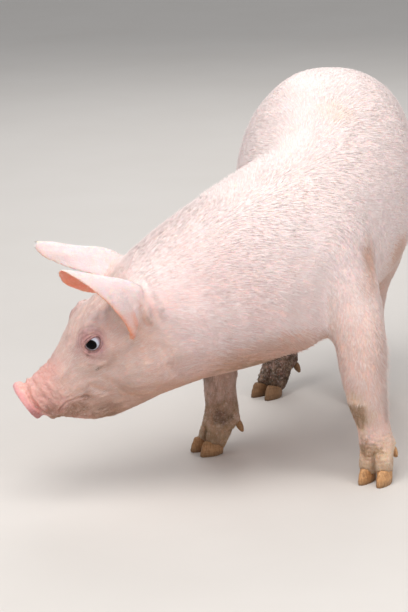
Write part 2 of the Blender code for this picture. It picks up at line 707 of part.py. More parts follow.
def part_jaw(head, place):
    """The lower jaw, below the line of the lips."""
    lips = ((0.020, -0.034), (-0.026, -0.0355), (-0.052, -0.034), (-0.080, -0.045))
    outline = (*lips, (-0.112, -0.160), (0.020, -0.160))
    middle = Vector((-0.040, -0.100))

    def prism(name, grow):
        bm = bmesh.new()
        rings = []
        for y in (-0.08, 0.08):
            ring = []
            for x, z in outline:
                away = (Vector((x, z)) - middle).normalized() * grow * 1.3
                ring.append(place @ Vector((x + away.x, y, z + away.y)))
            rings.append(ring)
        tube(bm, rings)
        return mesh_object(name, bm, CUTTERS)

    jaw = copy_of(head, "lower_jaw", PIG)
    boolean(jaw, prism("jaw region", 0.0), "INTERSECT")
    boolean(head, prism("jaw clearance", GAP), "DIFFERENCE")


# ---- materials ---------------------------------------------------------------------------------------
MATERIALS = {
    "skin": ((0.83, 0.62, 0.56), 0.60),
    "nose": ((0.78, 0.40, 0.37), 0.42),
    "eye": ((0.03, 0.02, 0.02), 0.08),
    "horn": ((0.42, 0.27, 0.17), 0.50),
}


def material_for(name):
    if name.startswith(("hoof", "dewclaw")):
        key = "horn"
    elif name.startswith("eye"):
        key = "eye"
    elif name.startswith("nose"):
        key = "nose"
    else:
        key = "skin"
    colour, roughness = MATERIALS[key]
    material = bpy.data.materials.new(name)
    material.use_nodes = True
    shader = material.node_tree.nodes["Principled BSDF"]
    shader.inputs["Base Color"].default_value = (*colour, 1)
    shader.inputs["Roughness"].default_value = roughness
    shader.inputs["Metallic"].default_value = 0.0
    return material


def finish():
    """Sets the model's middle over the origin, shades it smooth and gives each piece its material."""
    bpy.context.view_layer.update()
    corners = np.concatenate([[obj.matrix_world @ v.co for v in obj.data.vertices] for obj in PIG.objects])
    middle = (corners.min(axis=0) + corners.max(axis=0)) / 2
    shift = Matrix.Translation((-middle[0], -middle[1], 0))
    for obj in list(PIG.objects) + list(CUTTERS.objects):
        obj.matrix_world = shift @ obj.matrix_world
    for obj in PIG.objects:
        obj.data.materials.clear()
        obj.data.materials.append(material_for(obj.name))
        obj.data.polygons.foreach_set("use_smooth", [True] * len(obj.data.polygons))
    for obj in CUTTERS.objects:
        obj.hide_render = True
        obj.display_type = "WIRE"


PIG = bpy.data.collections.new("pig")
CUTTERS = bpy.data.collections.new("cutters")


def main():
    for obj in list(bpy.data.objects):
        bpy.data.objects.remove(obj, do_unlink=True)
    for collection in (PIG, CUTTERS):
        bpy.context.scene.collection.children.link(collection)
    place = Matrix.Translation(NOSE_AT) @ turned(x=-HEAD_ROLL, y=HEAD_PITCH, z=HEAD_YAW)

    body = build_flesh(place)
    nose = build_nose(place)
    boolean(body, grown(nose, "nose clearance", GAP), "DIFFERENCE")
    for hand, side in ((1, "left"), (-1, "right")):
        eye = build_eye(f"eye_{side}", hand, place)
        boolean(body, build_lid_opening(hand, place), "DIFFERENCE")
        boolean(body, grown(eye, "eye clearance", GAP * 1.6), "DIFFERENCE")
    clearance = grown(body, "flesh clearance", GAP)
    for hand, side in ((1, "left"), (-1, "right")):
        boolean(build_ear(f"ear_{side}", hand, place), clearance, "DIFFERENCE")
    boolean(build_tail(), clearance, "DIFFERENCE")
    for name, (toes_toward, stations) in LEGS.items():
        foot, fetlock = (frame_at(stations[joint][0], toes_toward) for joint in ("sole", "fetlock"))
        for hand in (1, -1):
            side = "outer" if (hand > 0) == name.endswith("_left") else "inner"
            build_hoof(f"hoof_{name}_{side}", foot, hand)
            boolean(body, build_hoof("hoof clearance", foot, hand, GAP, CUTTERS), "DIFFERENCE")
            build_dewclaw(f"dewclaw_{name}_{side}", fetlock, hand)
            boolean(body, build_dewclaw("dewclaw clearance", fetlock, hand, GAP, CUTTERS), "DIFFERENCE")
    part_legs(body)
    neck = split(body, "neck", *NECK_CUT)
    head_point, head_way = (Vector(v) for v in HEAD_CUT)
    head = split(neck, "head", place @ head_point, place.to_3x3() @ head_way)
    part_jaw(head, place)
    for obj in PIG.objects:
        drop_crumbs(obj)
    finish()


main()
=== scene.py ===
import math

import bmesh
import bpy
import numpy as np
from mathutils import Matrix, Vector
from mathutils.bvhtree import BVHTree


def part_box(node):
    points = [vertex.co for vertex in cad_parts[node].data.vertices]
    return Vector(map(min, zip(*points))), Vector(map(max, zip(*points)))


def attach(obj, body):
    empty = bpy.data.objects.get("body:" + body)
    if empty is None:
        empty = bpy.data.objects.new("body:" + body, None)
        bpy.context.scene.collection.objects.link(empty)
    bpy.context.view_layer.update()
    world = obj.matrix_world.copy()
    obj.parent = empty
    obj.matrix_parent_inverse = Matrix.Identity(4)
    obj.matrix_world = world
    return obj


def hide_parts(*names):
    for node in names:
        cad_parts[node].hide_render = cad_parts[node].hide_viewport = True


# a young pink pig on its feet, head low and turned to its right
# +Z up, the chest looks along -Y, the pig's left side is +X, metres throughout

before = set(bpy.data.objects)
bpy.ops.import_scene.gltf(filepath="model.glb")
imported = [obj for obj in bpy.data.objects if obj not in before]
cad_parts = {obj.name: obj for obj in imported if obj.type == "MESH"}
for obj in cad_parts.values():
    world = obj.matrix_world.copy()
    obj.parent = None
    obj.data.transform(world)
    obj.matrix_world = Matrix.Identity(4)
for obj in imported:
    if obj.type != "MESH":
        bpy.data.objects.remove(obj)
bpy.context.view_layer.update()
rng = np.random.default_rng(20)


def turned(x=0.0, y=0.0, z=0.0):
    turnX = Matrix.Rotation(math.radians(x), 4, "X")
    turnY = Matrix.Rotation(math.radians(y), 4, "Y")
    turnZ = Matrix.Rotation(math.radians(z), 4, "Z")
    return turnZ @ turnY @ turnX


def unit(rows):
    return rows / np.maximum(np.linalg.norm(rows, axis=-1, keepdims=True), 1e-12)


def ease(low, high, value):  # 0 below low, 1 above high, smooth between
    t = np.clip((value - low) / (high - low), 0, 1)
    return t * t * (3 - 2 * t)


def bump(distance, width):
    return np.exp(-((distance / width) ** 2))


def boxCentre(node):
    low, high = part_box(node)
    return (low + high) / 2


# the head has its own axes, from the nose disc's middle:
# +X to the muzzle, +Y to the pig's left, +Z to the forehead
headSettings = {
    "turn": {"x": -12, "y": 37, "z": 201},
    "eyeAt": (-0.1350, 0.0405, 0.0271),
    "noseDesign": (-0.234, -0.1225, 0.150),
}
headTurn = turned(**headSettings["turn"])
leftEye = boxCentre("eye_left")
rightEye = boxCentre("eye_right")
noseCentre = leftEye - headTurn @ Vector(headSettings["eyeAt"])
home = noseCentre - Vector(headSettings["noseDesign"])  # from the pose's first drawing to this frame
headAxes = np.array(headTurn.to_3x3())  # columns are the head's axes


def toHead(points):
    return (points - np.array(noseCentre)) @ headAxes


def fromHead(points):
    return np.array(points) @ headAxes.T + np.array(noseCentre)


def linked(name, data):
    obj = bpy.data.objects.new(name, data)
    bpy.context.scene.collection.objects.link(obj)
    return obj


# camera and lights
cameraSettings = {
    "place": (0.810, -3.023, 1.105),
    "target": (0.0, 0.0, 0.266),
    "roll": 2.0,  # degrees
    "lens": 133.2,
    "sensor": 36.0,
    "clipEnd": 40,
}
cameraData = bpy.data.cameras.new("camera")
cameraData.lens = cameraSettings["lens"]
cameraData.sensor_width = cameraSettings["sensor"]
cameraData.clip_end = cameraSettings["clipEnd"]
camera = linked("camera", cameraData)
cameraPlace = Vector(cameraSettings["place"]) + home
sight = Vector(cameraSettings["target"]) + home - cameraPlace
aim = sight.to_track_quat("-Z", "Y").to_matrix().to_4x4()
rollTurn = Matrix.Rotation(-math.radians(cameraSettings["roll"]), 4, "Z")
camera.matrix_world = Matrix.Translation(cameraPlace) @ aim @ rollTurn
bpy.context.scene.camera = camera

lightSettings = {
    "key": {"place": (-0.15, -1.45, 2.85), "size": 2.3, "power": 84, "colour": (1.0, 0.985, 0.965)},
    "side": {"place": (2.4, -1.0, 1.9), "size": 1.6, "power": 22, "colour": (1.0, 0.97, 0.94)},
    "rear": {"place": (-0.5, 2.6, 2.3), "size": 1.8, "power": 32, "colour": (1.0, 0.99, 0.98)},
    "sky": {"power": 0.46, "colour": (0.95, 0.97, 1.0)},
    "aimAt": (0.0, -0.05, 0.28),
}


def nodeTree(owner):
    owner.use_nodes = True
    owner.node_tree.nodes.clear()
    return owner.node_tree


def addLight(name, setting):
    data = bpy.data.lights.new(name, "AREA")
    data.energy = setting["power"]
    data.size = setting["size"]
    data.color = setting["colour"]
    lamp = linked(name, data)
    lamp.location = setting["place"]
    lampSight = Vector(lightSettings["aimAt"]) - lamp.location
    lamp.rotation_euler = lampSight.to_track_quat("-Z", "Y").to_euler()


for lampName in ("key", "side", "rear"):
    addLight(lampName + "Light", lightSettings[lampName])

world = bpy.data.worlds.new("sky")
bpy.context.scene.world = world
skyTree = nodeTree(world)
skyNode = skyTree.nodes.new("ShaderNodeBackground")
skyNode.inputs["Color"].default_value = (*lightSettings["sky"]["colour"], 1)
skyNode.inputs["Strength"].default_value = lightSettings["sky"]["power"]
skyOut = skyTree.nodes.new("ShaderNodeOutputWorld")
skyTree.links.new(skyNode.outputs[0], skyOut.inputs["Surface"])

bpy.context.scene.view_settings.view_transform = "Standard"


# material tools
class Nodes:
    # a short way to wire a material: add returns a node, finish the material, the others a socket
    def __init__(self, name):
        self.material = bpy.data.materials.new(name)
        self.tree = nodeTree(self.material)
        self.coordinates = self.add("TexCoord").outputs["Object"]

    def put(self, socket, value):
        if isinstance(value, bpy.types.NodeSocket):
            self.tree.links.new(value, socket)
        elif socket.type == "RGBA" and len(value) == 3:
            socket.default_value = (*value, 1)
        else:
            socket.default_value = value

    def add(self, kind, sockets=(), **options):
        node = self.tree.nodes.new("ShaderNode" + kind)
        for key, value in options.items():
            setattr(node, key, value)
        for key, value in dict(sockets).items():
            self.put(node.inputs[key], value)
        return node

    def maths(self, operation, a, b):
        return self.add("Math", {0: a, 1: b}, operation=operation).outputs[0]

    def total(self, *parts):  # of sockets times their shares
        sums = [self.maths("MULTIPLY", socket, share) for socket, share in parts]
        while len(sums) > 1:
            sums[:2] = [self.maths("ADD", *sums[:2])]
        return sums[0]

    def mix(self, factor, a, b):
        return self.add("Mix", {0: factor, 6: a, 7: b}, data_type="RGBA").outputs[2]

    def ramp(self, value, low, high, fromValue=0.0, toValue=1.0):
        sockets = {"Value": value, "From Min": low, "From Max": high, "To Min": fromValue, "To Max": toValue}
        return self.add("MapRange", sockets, interpolation_type="SMOOTHSTEP").outputs[0]

    def stretched(self, scale, turn=(0, 0, 0)):
        radians = tuple(math.radians(v) for v in turn)
        sockets = {"Vector": self.coordinates, "Scale": scale, "Rotation": radians}
        return self.add("Mapping", sockets).outputs[0]

    def noise(self, scale, detail, roughness, vector=None, distortion=0.0):
        sockets = {"Vector": vector or self.coordinates, "Scale": scale, "Detail": detail}
        sockets.update({"Roughness": roughness, "Distortion": distortion})
        return self.add("TexNoise", sockets).outputs["Fac"]

    def cells(self, scale):
        return self.add("TexVoronoi", {"Vector": self.coordinates, "Scale": scale}).outputs["Distance"]

    def attribute(self, name, output="Color"):
        return self.add("Attribute", attribute_name=name).outputs[output]

    def bump(self, height, strength, distance):
        return self.add("Bump", {"Height": height, "Strength": strength, "Distance": distance}).outputs[0]

    def finish(self, **looks):
        shader = self.add("BsdfPrincipled", {key.replace("_", " "): value for key, value in looks.items()})
        self.add("OutputMaterial", {"Surface": shader.outputs[0]})
        return self.material


# mesh tools
def pulled(items, key, width, kind=float):
    values = np.empty(len(items) * width, kind)
    items.foreach_get(key, values)
    return values.reshape(-1, width)


def meshPoints(mesh):
    return pulled(mesh.vertices, "co", 3)


def meshNormals(mesh):
    return pulled(mesh.vertices, "normal", 3)


def meshEdges(mesh):
    return pulled(mesh.edges, "vertices", 2, np.int64).T


def meshTriangles(mesh):
    mesh.calc_loop_triangles()
    return pulled(mesh.loop_triangles, "vertices", 3, np.int64)


def setPoints(mesh, points):
    mesh.vertices.foreach_set("co", points.ravel())
    mesh.update()


def newObject(name, vertices, faces):
    mesh = bpy.data.meshes.new(name)
    mesh.from_pydata([tuple(v) for v in vertices], [], [tuple(f) for f in faces])
    mesh.update()
    return linked(name, mesh)


def triangleMesh(name, vertices, triangles):  # quick, for very many faces
    mesh = bpy.data.meshes.new(name)
    mesh.vertices.add(len(vertices))
    mesh.vertices.foreach_set("co", np.asarray(vertices, np.float32).ravel())
    mesh.loops.add(len(triangles) * 3)
    mesh.loops.foreach_set("vertex_index", np.asarray(triangles, np.int32).ravel())
    mesh.polygons.add(len(triangles))
    mesh.polygons.foreach_set("loop_start", np.arange(len(triangles), dtype=np.int32) * 3)
    mesh.update(calc_edges=True)
    return linked(name, mesh)


def settled(obj):  # applies the modifiers
    bpy.context.view_layer.update()
    graph = bpy.context.evaluated_depsgraph_get()
    mesh = bpy.data.meshes.new_from_object(obj.evaluated_get(graph))
    obj.modifiers.clear()
    obj.data = mesh
    return obj


def remeshed(name, mesh, voxel):
    obj = linked(name, mesh)
    step = obj.modifiers.new("join", "REMESH")
    step.mode = "VOXEL"
    step.voxel_size = voxel
    return settled(obj)


def smoothShaded(mesh):
    mesh.polygons.foreach_set("use_smooth", np.ones(len(mesh.polygons), bool))
    mesh.update()


def neighbourMean(values, edges, valence):
    a, b = edges
    total = np.empty_like(values)
    for k in range(values.shape[1]):
        column = values[:, k]
        total[:, k] = np.bincount(a, column[b], len(values)) + np.bincount(b, column[a], len(values))
    return total / valence


def relaxed(values, edges, rounds, strength=1.0):
    a, b = edges
    valence = np.maximum(np.bincount(np.concatenate((a, b)), minlength=len(values)), 1)[:, None]
    values = values.copy()
    for _ in range(rounds):
        values += (neighbourMean(values, edges, valence) - values) * strength
    return values


def hashed(cells):
    x, y, z = (cells[..., k].astype(np.uint64) for k in range(3))
    h = (x * np.uint64(73856093)) ^ (y * np.uint64(19349663)) ^ (z * np.uint64(83492791))
    h = (h ^ (h >> np.uint64(13))) * np.uint64(1274126177)
    return ((h ^ (h >> np.uint64(16))) & np.uint64(0xFFFF)).astype(float) / 32767.5 - 1


def ripple(points, size, seed=0, octaves=2):  # smooth noise from -1 to 1 with lumps of that size
    total = np.zeros(len(points))
    for octave in range(octaves):
        at = points / size * 2**octave + 1000 + 37 * seed + 11 * octave
        cell = np.floor(at).astype(np.int64)
        f = at - cell
        f = f * f * (3 - 2 * f)
        value = np.zeros(len(points))
        for corner in range(8):
            offset = np.array([(corner >> k) & 1 for k in range(3)])
            weight = np.prod(np.where(offset, f, 1 - f), axis=1)
            value += weight * hashed(cell + offset)
        total += value / 2**octave
    return total


def distanceToPath(points, path):
    # distance from each point to a line through the path's points,
    # and how far along the line it lies, 0 to 1
    path = np.asarray(path, float)
    spans = np.linalg.norm(np.diff(path, axis=0), axis=1)
    reached = np.concatenate(([0], np.cumsum(spans)))
    best = np.full(len(points), 1e9)
    along = np.zeros(len(points))
    for k in range(len(path) - 1):
        step = path[k + 1] - path[k]
        t = np.clip((points - path[k]) @ step / (step @ step), 0, 1)
        gap = np.linalg.norm(points - path[k] - t[:, None] * step, axis=1)
        closer = gap < best
        best = np.where(closer, gap, best)
        along = np.where(closer, (reached[k] + t * spans[k]) / reached[-1], along)
    return best, along


def curveThrough(points, count):  # a smooth line through points
    rows = np.asarray(points, float)
    last = len(rows) - 1
    line = []
    for t in np.linspace(0, last, count):
        i = min(int(t), last - 1)
        f = t - i
        p0, p1, p2, p3 = (rows[min(max(i + k, 0), last)] for k in (-1, 0, 1, 2))
        bend = 2 * p0 - 5 * p1 + 4 * p2 - p3
        swell = 3 * p1 - p0 - 3 * p2 + p3
        line.append(0.5 * (2 * p1 + (p2 - p0) * f + bend * f**2 + swell * f**3))
    return np.array(line)


def reachOf(points, centre, radii):  # 1 on the egg round a centre
    return np.linalg.norm((points - np.array(centre)) / np.array(radii), axis=1)


def eyeDistance(points):
    return np.minimum(*(np.linalg.norm(points - np.array(eye), axis=1) for eye in (leftEye, rightEye)))


def mirrorOf(local):  # both sides of the head on the left one
    return np.stack((local[:, 0], np.abs(local[:, 1]), local[:, 2]), axis=1)


# the flesh, joined into one skin
legNames = [f"{end}leg_{side}" for end in ("fore", "hind") for side in ("left", "right")]
fleshNodes = ["trunk", "neck", "head", "lower_jaw", "nose_disc", "ear_left", "ear_right", "tail"]
fleshNodes += [f"{leg}_{part}" for leg in legNames for part in ("upper", "lower")]
smoothNodes = [n for n in fleshNodes if not n.startswith(("ear", "tail", "nose"))]

weldDistance = 0.00001
skinSettings = {
    "voxel": 0.0023,
    "coarseVoxel": 0.0060,
    "closeCuts": 0.0002,  # every solid grows by this, so that the cuts between them close
    "coarseRounds": 26,
    "coarseGrow": 0.0010,
    "fineRounds": 22,
    "coatDepth": 0.0008,
    "socketFill": 0.0142,
}


def joinedFlesh(names):
    vertices, faces, labels = [], [], []

    def take(bm, name, grow):
        count = len(vertices)
        vertices.extend(v.co + v.normal * grow for v in bm.verts)
        faces.extend([v.index + count for v in f.verts] for f in bm.faces)
        labels.extend([names.index(name)] * len(bm.faces))
        bm.free()

    for name in names:
        bm = bmesh.new()
        bm.from_mesh(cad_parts[name].data)
        bmesh.ops.remove_doubles(bm, verts=bm.verts[:], dist=weldDistance)
        bm.normal_update()
        take(bm, name, skinSettings["closeCuts"])
    for eye in (leftEye, rightEye):
        bm = bmesh.new()
        place = Matrix.Translation(eye)
        bmesh.ops.create_icosphere(bm, subdivisions=3, radius=skinSettings["socketFill"], matrix=place)
        take(bm, "head", 0.0)
    mesh = bpy.data.meshes.new("joinedFlesh")
    mesh.from_pydata([tuple(v) for v in vertices], [], faces)
    mesh.update()
    return mesh, np.array(labels)


def keepLargestShell(mesh):
    a, b = meshEdges(mesh)
    label = np.arange(len(mesh.vertices))
    while True:
        low = np.minimum(label[a], label[b])
        fresh = label.copy()
        np.minimum.at(fresh, a, low)
        np.minimum.at(fresh, b, low)
        fresh = fresh[fresh]
        if np.array_equal(fresh, label):
            break
        label = fresh
    roots, counts = np.unique(label, return_counts=True)
    if len(roots) == 1:
        return
    stray = np.flatnonzero(label != roots[np.argmax(counts)])
    bm = bmesh.new()
    bm.from_mesh(mesh)
    bm.verts.ensure_lookup_table()
    bmesh.ops.delete(bm, geom=[bm.verts[i] for i in stray], context="VERTS")
    bm.to_mesh(mesh)
    bm.free()


def nearestFaces(tree, points, mask=None):
    # the closest place on a surface to each point, and the face that it is on
    places = np.array(points, float)
    faces = np.zeros(len(points), np.int64)
    indices = range(len(points)) if mask is None else np.flatnonzero(mask)
    for i in indices:
        place, _, face, _ = tree.find_nearest(points[i])
        places[i] = place
        faces[i] = face
    return places, faces


def treeOf(mesh):
    return BVHTree.FromPolygons([v.co for v in mesh.vertices], [p.vertices[:] for p in mesh.polygons])


joined, faceLabels = joinedFlesh(fleshNodes)
labelTree = treeOf(joined)
skin = remeshed("pigSkin", joined.copy(), skinSettings["voxel"])
keepLargestShell(skin.data)
print("skin joined:", len(skin.data.vertices), "points")

smoothMesh, _ = joinedFlesh(smoothNodes)
coarse = remeshed("coarseBody", smoothMesh, skinSettings["coarseVoxel"])
keepLargestShell(coarse.data)
coarsePoints = meshPoints(coarse.data)
coarseEdges = meshEdges(coarse.data)
coarsePoints = relaxed(coarsePoints, coarseEdges, skinSettings["coarseRounds"], 0.6)
setPoints(coarse.data, coarsePoints)
coarsePoints = coarsePoints + meshNormals(coarse.data) * skinSettings["coarseGrow"]
setPoints(coarse.data, coarsePoints)
coarseTree = treeOf(coarse.data)


# finer faces where the head and feet need them
def refine(mesh, wanted):
    bm = bmesh.new()
    bm.from_mesh(mesh)
    bm.verts.ensure_lookup_table()
    chosen = [e for e in bm.edges if wanted[e.verts[0].index] and wanted[e.verts[1].index]]
    bmesh.ops.subdivide_edges(bm, edges=chosen, cuts=1, use_grid_fill=True)
    bm.to_mesh(mesh)
    bm.free()


def fineZone(points):
    local = toHead(points)
    muzzle = (local[:, 0] > -0.085) & (local[:, 0] < 0.05) & (np.abs(local[:, 1]) < 0.08)
    return muzzle | (eyeDistance(points) < 0.040)


refine(skin.data, fineZone(meshPoints(skin.data)))


def regionsOf(points):
    _, faces = nearestFaces(labelTree, points)
    return faceLabels[faces]


def isPart(labels, *starts):
    return np.isin(labels, [i for i, name in enumerate(fleshNodes) if name.startswith(starts)])


def isLegPart(labels, end):
    return np.isin(labels, [i for i, name in enumerate(fleshNodes) if name.endswith(end)])


def softened(values, rounds, strength):  # one number for each point of the skin
    return relaxed(values.astype(float)[:, None], edges, rounds, strength)[:, 0]


points = meshPoints(skin.data)
edges = meshEdges(skin.data)
labels = regionsOf(points)
print("skin refined:", len(points), "points")

onBody = isPart(labels, "trunk", "neck") | isLegPart(labels, "upper")
bodyWeight = ease(0.35, 1.0, softened(onBody, 40, 0.9))
smoothing = {"head": 0.45, "ear": 0.18, "nose": 0.18, "tail": 0.22, "other": 0.30, "body": 0.6}
strength = np.full(len(points), smoothing["other"])
for part in ("head", "ear", "nose", "tail"):
    strength[isPart(labels, part)] = smoothing[part]
lowLeg = isLegPart(labels, "lower")
strength = np.where(lowLeg, 0.10 + 0.45 * ease(0.05, 0.12, points[:, 2]), strength)
strength = np.maximum(strength, onBody * smoothing["body"])
strength = softened(strength, 12, 0.8)[:, None]
points = relaxed(points, edges, skinSettings["fineRounds"], strength)
onto, _ = nearestFaces(coarseTree, points, bodyWeight > 0.001)
points += (onto - points) * bodyWeight[:, None]
setPoints(skin.data, points)
print("skin smoothed")


# ears: each skin ear is drawn onto a fine sheet with an even thickness
earSettings = {
    "outerRim": (
        (-0.176, 0.054, -0.012), (-0.182, 0.074, 0.010), (-0.190, 0.084, 0.045),
        (-0.190, 0.088, 0.085), (-0.183, 0.087, 0.122), (-0.171, 0.079, 0.149),
    ),
    "back": (
        (-0.226, 0.042, 0.022), (-0.236, 0.062, 0.050), (-0.226, 0.066, 0.080),
        (-0.207, 0.066, 0.106), (-0.187, 0.070, 0.132), (-0.169, 0.075, 0.153),
    ),
    "innerRim": (
        (-0.196, 0.026, 0.048), (-0.192, 0.033, 0.068), (-0.177, 0.041, 0.088),
        (-0.166, 0.050, 0.110), (-0.159, 0.060, 0.132), (-0.162, 0.070, 0.149),
    ),
    "swing": {"left": 0, "right": 7},
    "drawnIn": {"left": 0.0, "right": 1.0},
    "tipRaised": {"left": 1.0, "right": 0.35},
    "rootThickness": 0.0042,
    "tipThickness": 0.0024,
    "rows": 60,
    "columns": 44,
    "ridges": 0.00045,
}


def swung(places, degrees):  # turned about the ear's root
    x, _, z = earSettings["back"][0]
    root = Matrix.Translation((x, 0, z))
    swing = np.array(root @ turned(y=degrees) @ root.inverted())
    return places @ swing[:3, :3].T + swing[:3, 3]


def asLeftEar(local):  # places on the right ear as on the left one, without its swing
    mirrored = mirrorOf(local)
    return np.where(local[:, 1:2] < 0, swung(mirrored, -earSettings["swing"]["right"]), mirrored)


def earSheet(side):
    # the front and rear of an ear: rows run from the root to the tip, columns from the outer rim to the inner
    rows, columns = earSettings["rows"], earSettings["columns"]
    outer, back, inner = (curveThrough(earSettings[key], rows) for key in ("outerRim", "back", "innerRim"))
    run = np.linspace(0, 1, rows)[:, None]
    inner = inner + np.array((-0.0060, 0.0040, 0.0050)) * earSettings["drawnIn"][side] * np.sin(np.pi * run)
    raised = np.array((-0.0045, 0, 0.0055)) * earSettings["tipRaised"][side]
    raised = raised * np.maximum(0, (run - 0.45) / 0.55) ** 1.5
    outer, back, inner = outer + raised, back + raised, inner + raised
    across = np.linspace(0, 1, columns)[None, :, None]
    pull = 2 * back - (outer + inner) / 2
    middle = (1 - across) ** 2 * outer[:, None] + 2 * across * (1 - across) * pull[:, None]
    middle = middle + across**2 * inner[:, None]
    middle[:, :, 1] *= 1 if side == "left" else -1
    middle = swung(middle, earSettings["swing"][side])
    normal = unit(np.cross(np.gradient(middle, axis=1), np.gradient(middle, axis=0)))
    thick = earSettings["rootThickness"] * (1 - run) + earSettings["tipThickness"] * run
    toRim = np.abs(np.linspace(-1, 1, columns))[None, :]
    rounded = np.sqrt(np.clip(1 - toRim**6, 0.0, 1)) * np.sqrt(np.clip(1 - ease(0.90, 1.02, run) ** 2, 0, 1))
    ridges = earSettings["ridges"] * np.cos(toRim * 9.0)
    ridges = ridges * ease(0.15, 0.45, run) * (1 - ease(0.65, 0.95, run)) * rounded
    half = (thick * (0.12 + 0.88 * rounded) / 2)[:, :, None]
    front = fromHead((middle + normal * half).reshape(-1, 3))
    rear = fromHead((middle - normal * (half + ridges[:, :, None])).reshape(-1, 3))
    return front, rear, rows, columns


def sheetTree(front, rear, rows, columns):
    faces = []
    count = rows * columns
    for layer in (0, count):
        for i in range(rows - 1):
            for k in range(columns - 1):
                a = layer + i * columns + k
                faces.append((a, a + 1, a + columns + 1, a + columns))
    border = [k for k in range(columns)] + [i * columns + columns - 1 for i in range(1, rows)]
    border += [count - 1 - k for k in range(1, columns)] + [i * columns for i in range(rows - 2, 0, -1)]
    for a, b in zip(border, border[1:] + border[:1]):
        faces.append((a, b, b + count, a + count))
    return BVHTree.FromPolygons([tuple(p) for p in np.concatenate((front, rear))], faces)


for side in ("left", "right"):
    sheet = sheetTree(*earSheet(side))
    earAlone = softened(isPart(labels, "ear_" + side), 10, 0.8)
    local = toHead(points)
    aboveRoot = ease(0.030, 0.062, np.abs(local[:, 1]) * 0.55 + local[:, 2] * 0.55 + 0.004)
    weight = ease(0.55, 0.98, earAlone) * aboveRoot
    drawn, _ = nearestFaces(sheet, points, weight > 0.001)
    gap = np.linalg.norm(drawn - points, axis=1)
    weight *= 1 - ease(0.006, 0.010, gap)
    points += (drawn - points) * weight[:, None]
setPoints(skin.data, points)
print("ears drawn")

# folds and lines, carved into the skin
local = toHead(points)
mirrored = mirrorOf(local)
headNear = (local[:, 0] > -0.30) & (np.linalg.norm(local - np.array([-0.12, 0, 0]), axis=1) < 0.26)
move = np.zeros(len(points))  # along the normal, outward positive
broken = ripple(local, 0.0085, 19)


def carve(places, lines, knots, ends, ridgeAt, weight):
    # a groove along each path with a low ridge on both sides, fading at the path's ends
    global move
    for name, (path, width, depth, ridge) in lines.items():
        gap, along = distanceToPath(places, curveThrough(path, knots))
        openEnd = name == "mouth"
        fade = ease(0.0, ends[0], along) * (1 - ease(ends[1], 1.0, along) * (not openEnd)) * weight
        move += fade * (-depth * bump(gap, width) + ridge * bump(gap - ridgeAt * width, width))


faceLines = {
    # path on one side in the head's axes, then width, depth and the height of the ridge
    "mouth": (
        ((0.000, 0.010, -0.0325), (-0.012, 0.024, -0.0335), (-0.026, 0.0285, -0.0320),
         (-0.044, 0.0325, -0.0262), (-0.060, 0.0365, -0.0290), (-0.073, 0.0400, -0.0345)),
        0.0017, 0.0026, 0.0004),
    "mouthCorner": (
        ((-0.071, 0.039, -0.030), (-0.076, 0.041, -0.037), (-0.079, 0.042, -0.045)),
        0.0022, 0.0012, 0.0005),
    "noseFold": (
        ((-0.0185, 0.000, 0.0240), (-0.0170, 0.012, 0.0220), (-0.0140, 0.022, 0.0140),
         (-0.0115, 0.027, 0.0020), (-0.0110, 0.026, -0.0100), (-0.0120, 0.023, -0.0200)),
        0.0024, 0.0026, 0.0016),
    "secondFold": (
        ((-0.0290, 0.000, 0.0265), (-0.0290, 0.012, 0.0230), (-0.0285, 0.021, 0.0150),
         (-0.0280, 0.027, 0.0040), (-0.0260, 0.029, -0.0070)),
        0.0028, 0.0009, 0.0006),
    "thirdFold": (
        ((-0.040, 0.006, 0.0275), (-0.041, 0.016, 0.0215), (-0.040, 0.024, 0.0120), (-0.037, 0.029, 0.0000)),
        0.0034, 0.0004, 0.0003),
    "cheekFold": (
        ((-0.086, 0.040, -0.020), (-0.092, 0.045, -0.034), (-0.098, 0.049, -0.050)),
        0.0050, 0.0012, 0.0006),
    "underLid": (
        ((-0.112, 0.040, 0.016), (-0.124, 0.047, 0.004), (-0.140, 0.052, 0.002), (-0.156, 0.055, 0.010)),
        0.0036, 0.0012, 0.0008),
    "overLid": (
        ((-0.118, 0.034, 0.047), (-0.1333, 0.0384, 0.053), (-0.1544, 0.0480, 0.0440)),
        0.0030, 0.0016, 0.0010),
}
carve(mirrored, faceLines, 24, (0.12, 0.86), 2.1, headNear * (1 + 0.45 * broken))
earLines = {
    "conchaFront": (
        ((-0.2185, 0.0690, 0.0480), (-0.2120, 0.0720, 0.0240), (-0.2065, 0.0730, 0.0020)),
        0.0042, 0.0016, 0.0012),
    "conchaBack": (
        ((-0.2360, 0.0660, 0.0480), (-0.2300, 0.0710, 0.0220), (-0.2200, 0.0730, -0.0020)),
        0.0050, 0.0010, 0.0012),
}
carve(mirrored, earLines, 16, (0.2, 0.8), 2.0, local[:, 0] > -0.26)
muzzleSettings = {
    "browDent": 0.0050,
    "wrinkle": 0.00085,
    "crease": 0.0011,
    "lump": 0.0007,
    "noseRim": 0.0008,
    "noseGrain": 0.00025,
    "noseGroove": 0.0007,
    "nostrilRim": 0.0006,
    "nostrilOut": 0.0115,  # from the middle of the nose disc
    "nostrilRadius": 0.0078,
    "noseHalf": (0.0295, 0.0310),  # half the disc's width and height
}
browDent = reachOf(local, (-0.156, -0.034, 0.060), (0.040, 0.028, 0.028))
move -= muzzleSettings["browDent"] * (1 - ease(0.1, 1.1, browDent)) * (1 - isPart(labels, "ear"))

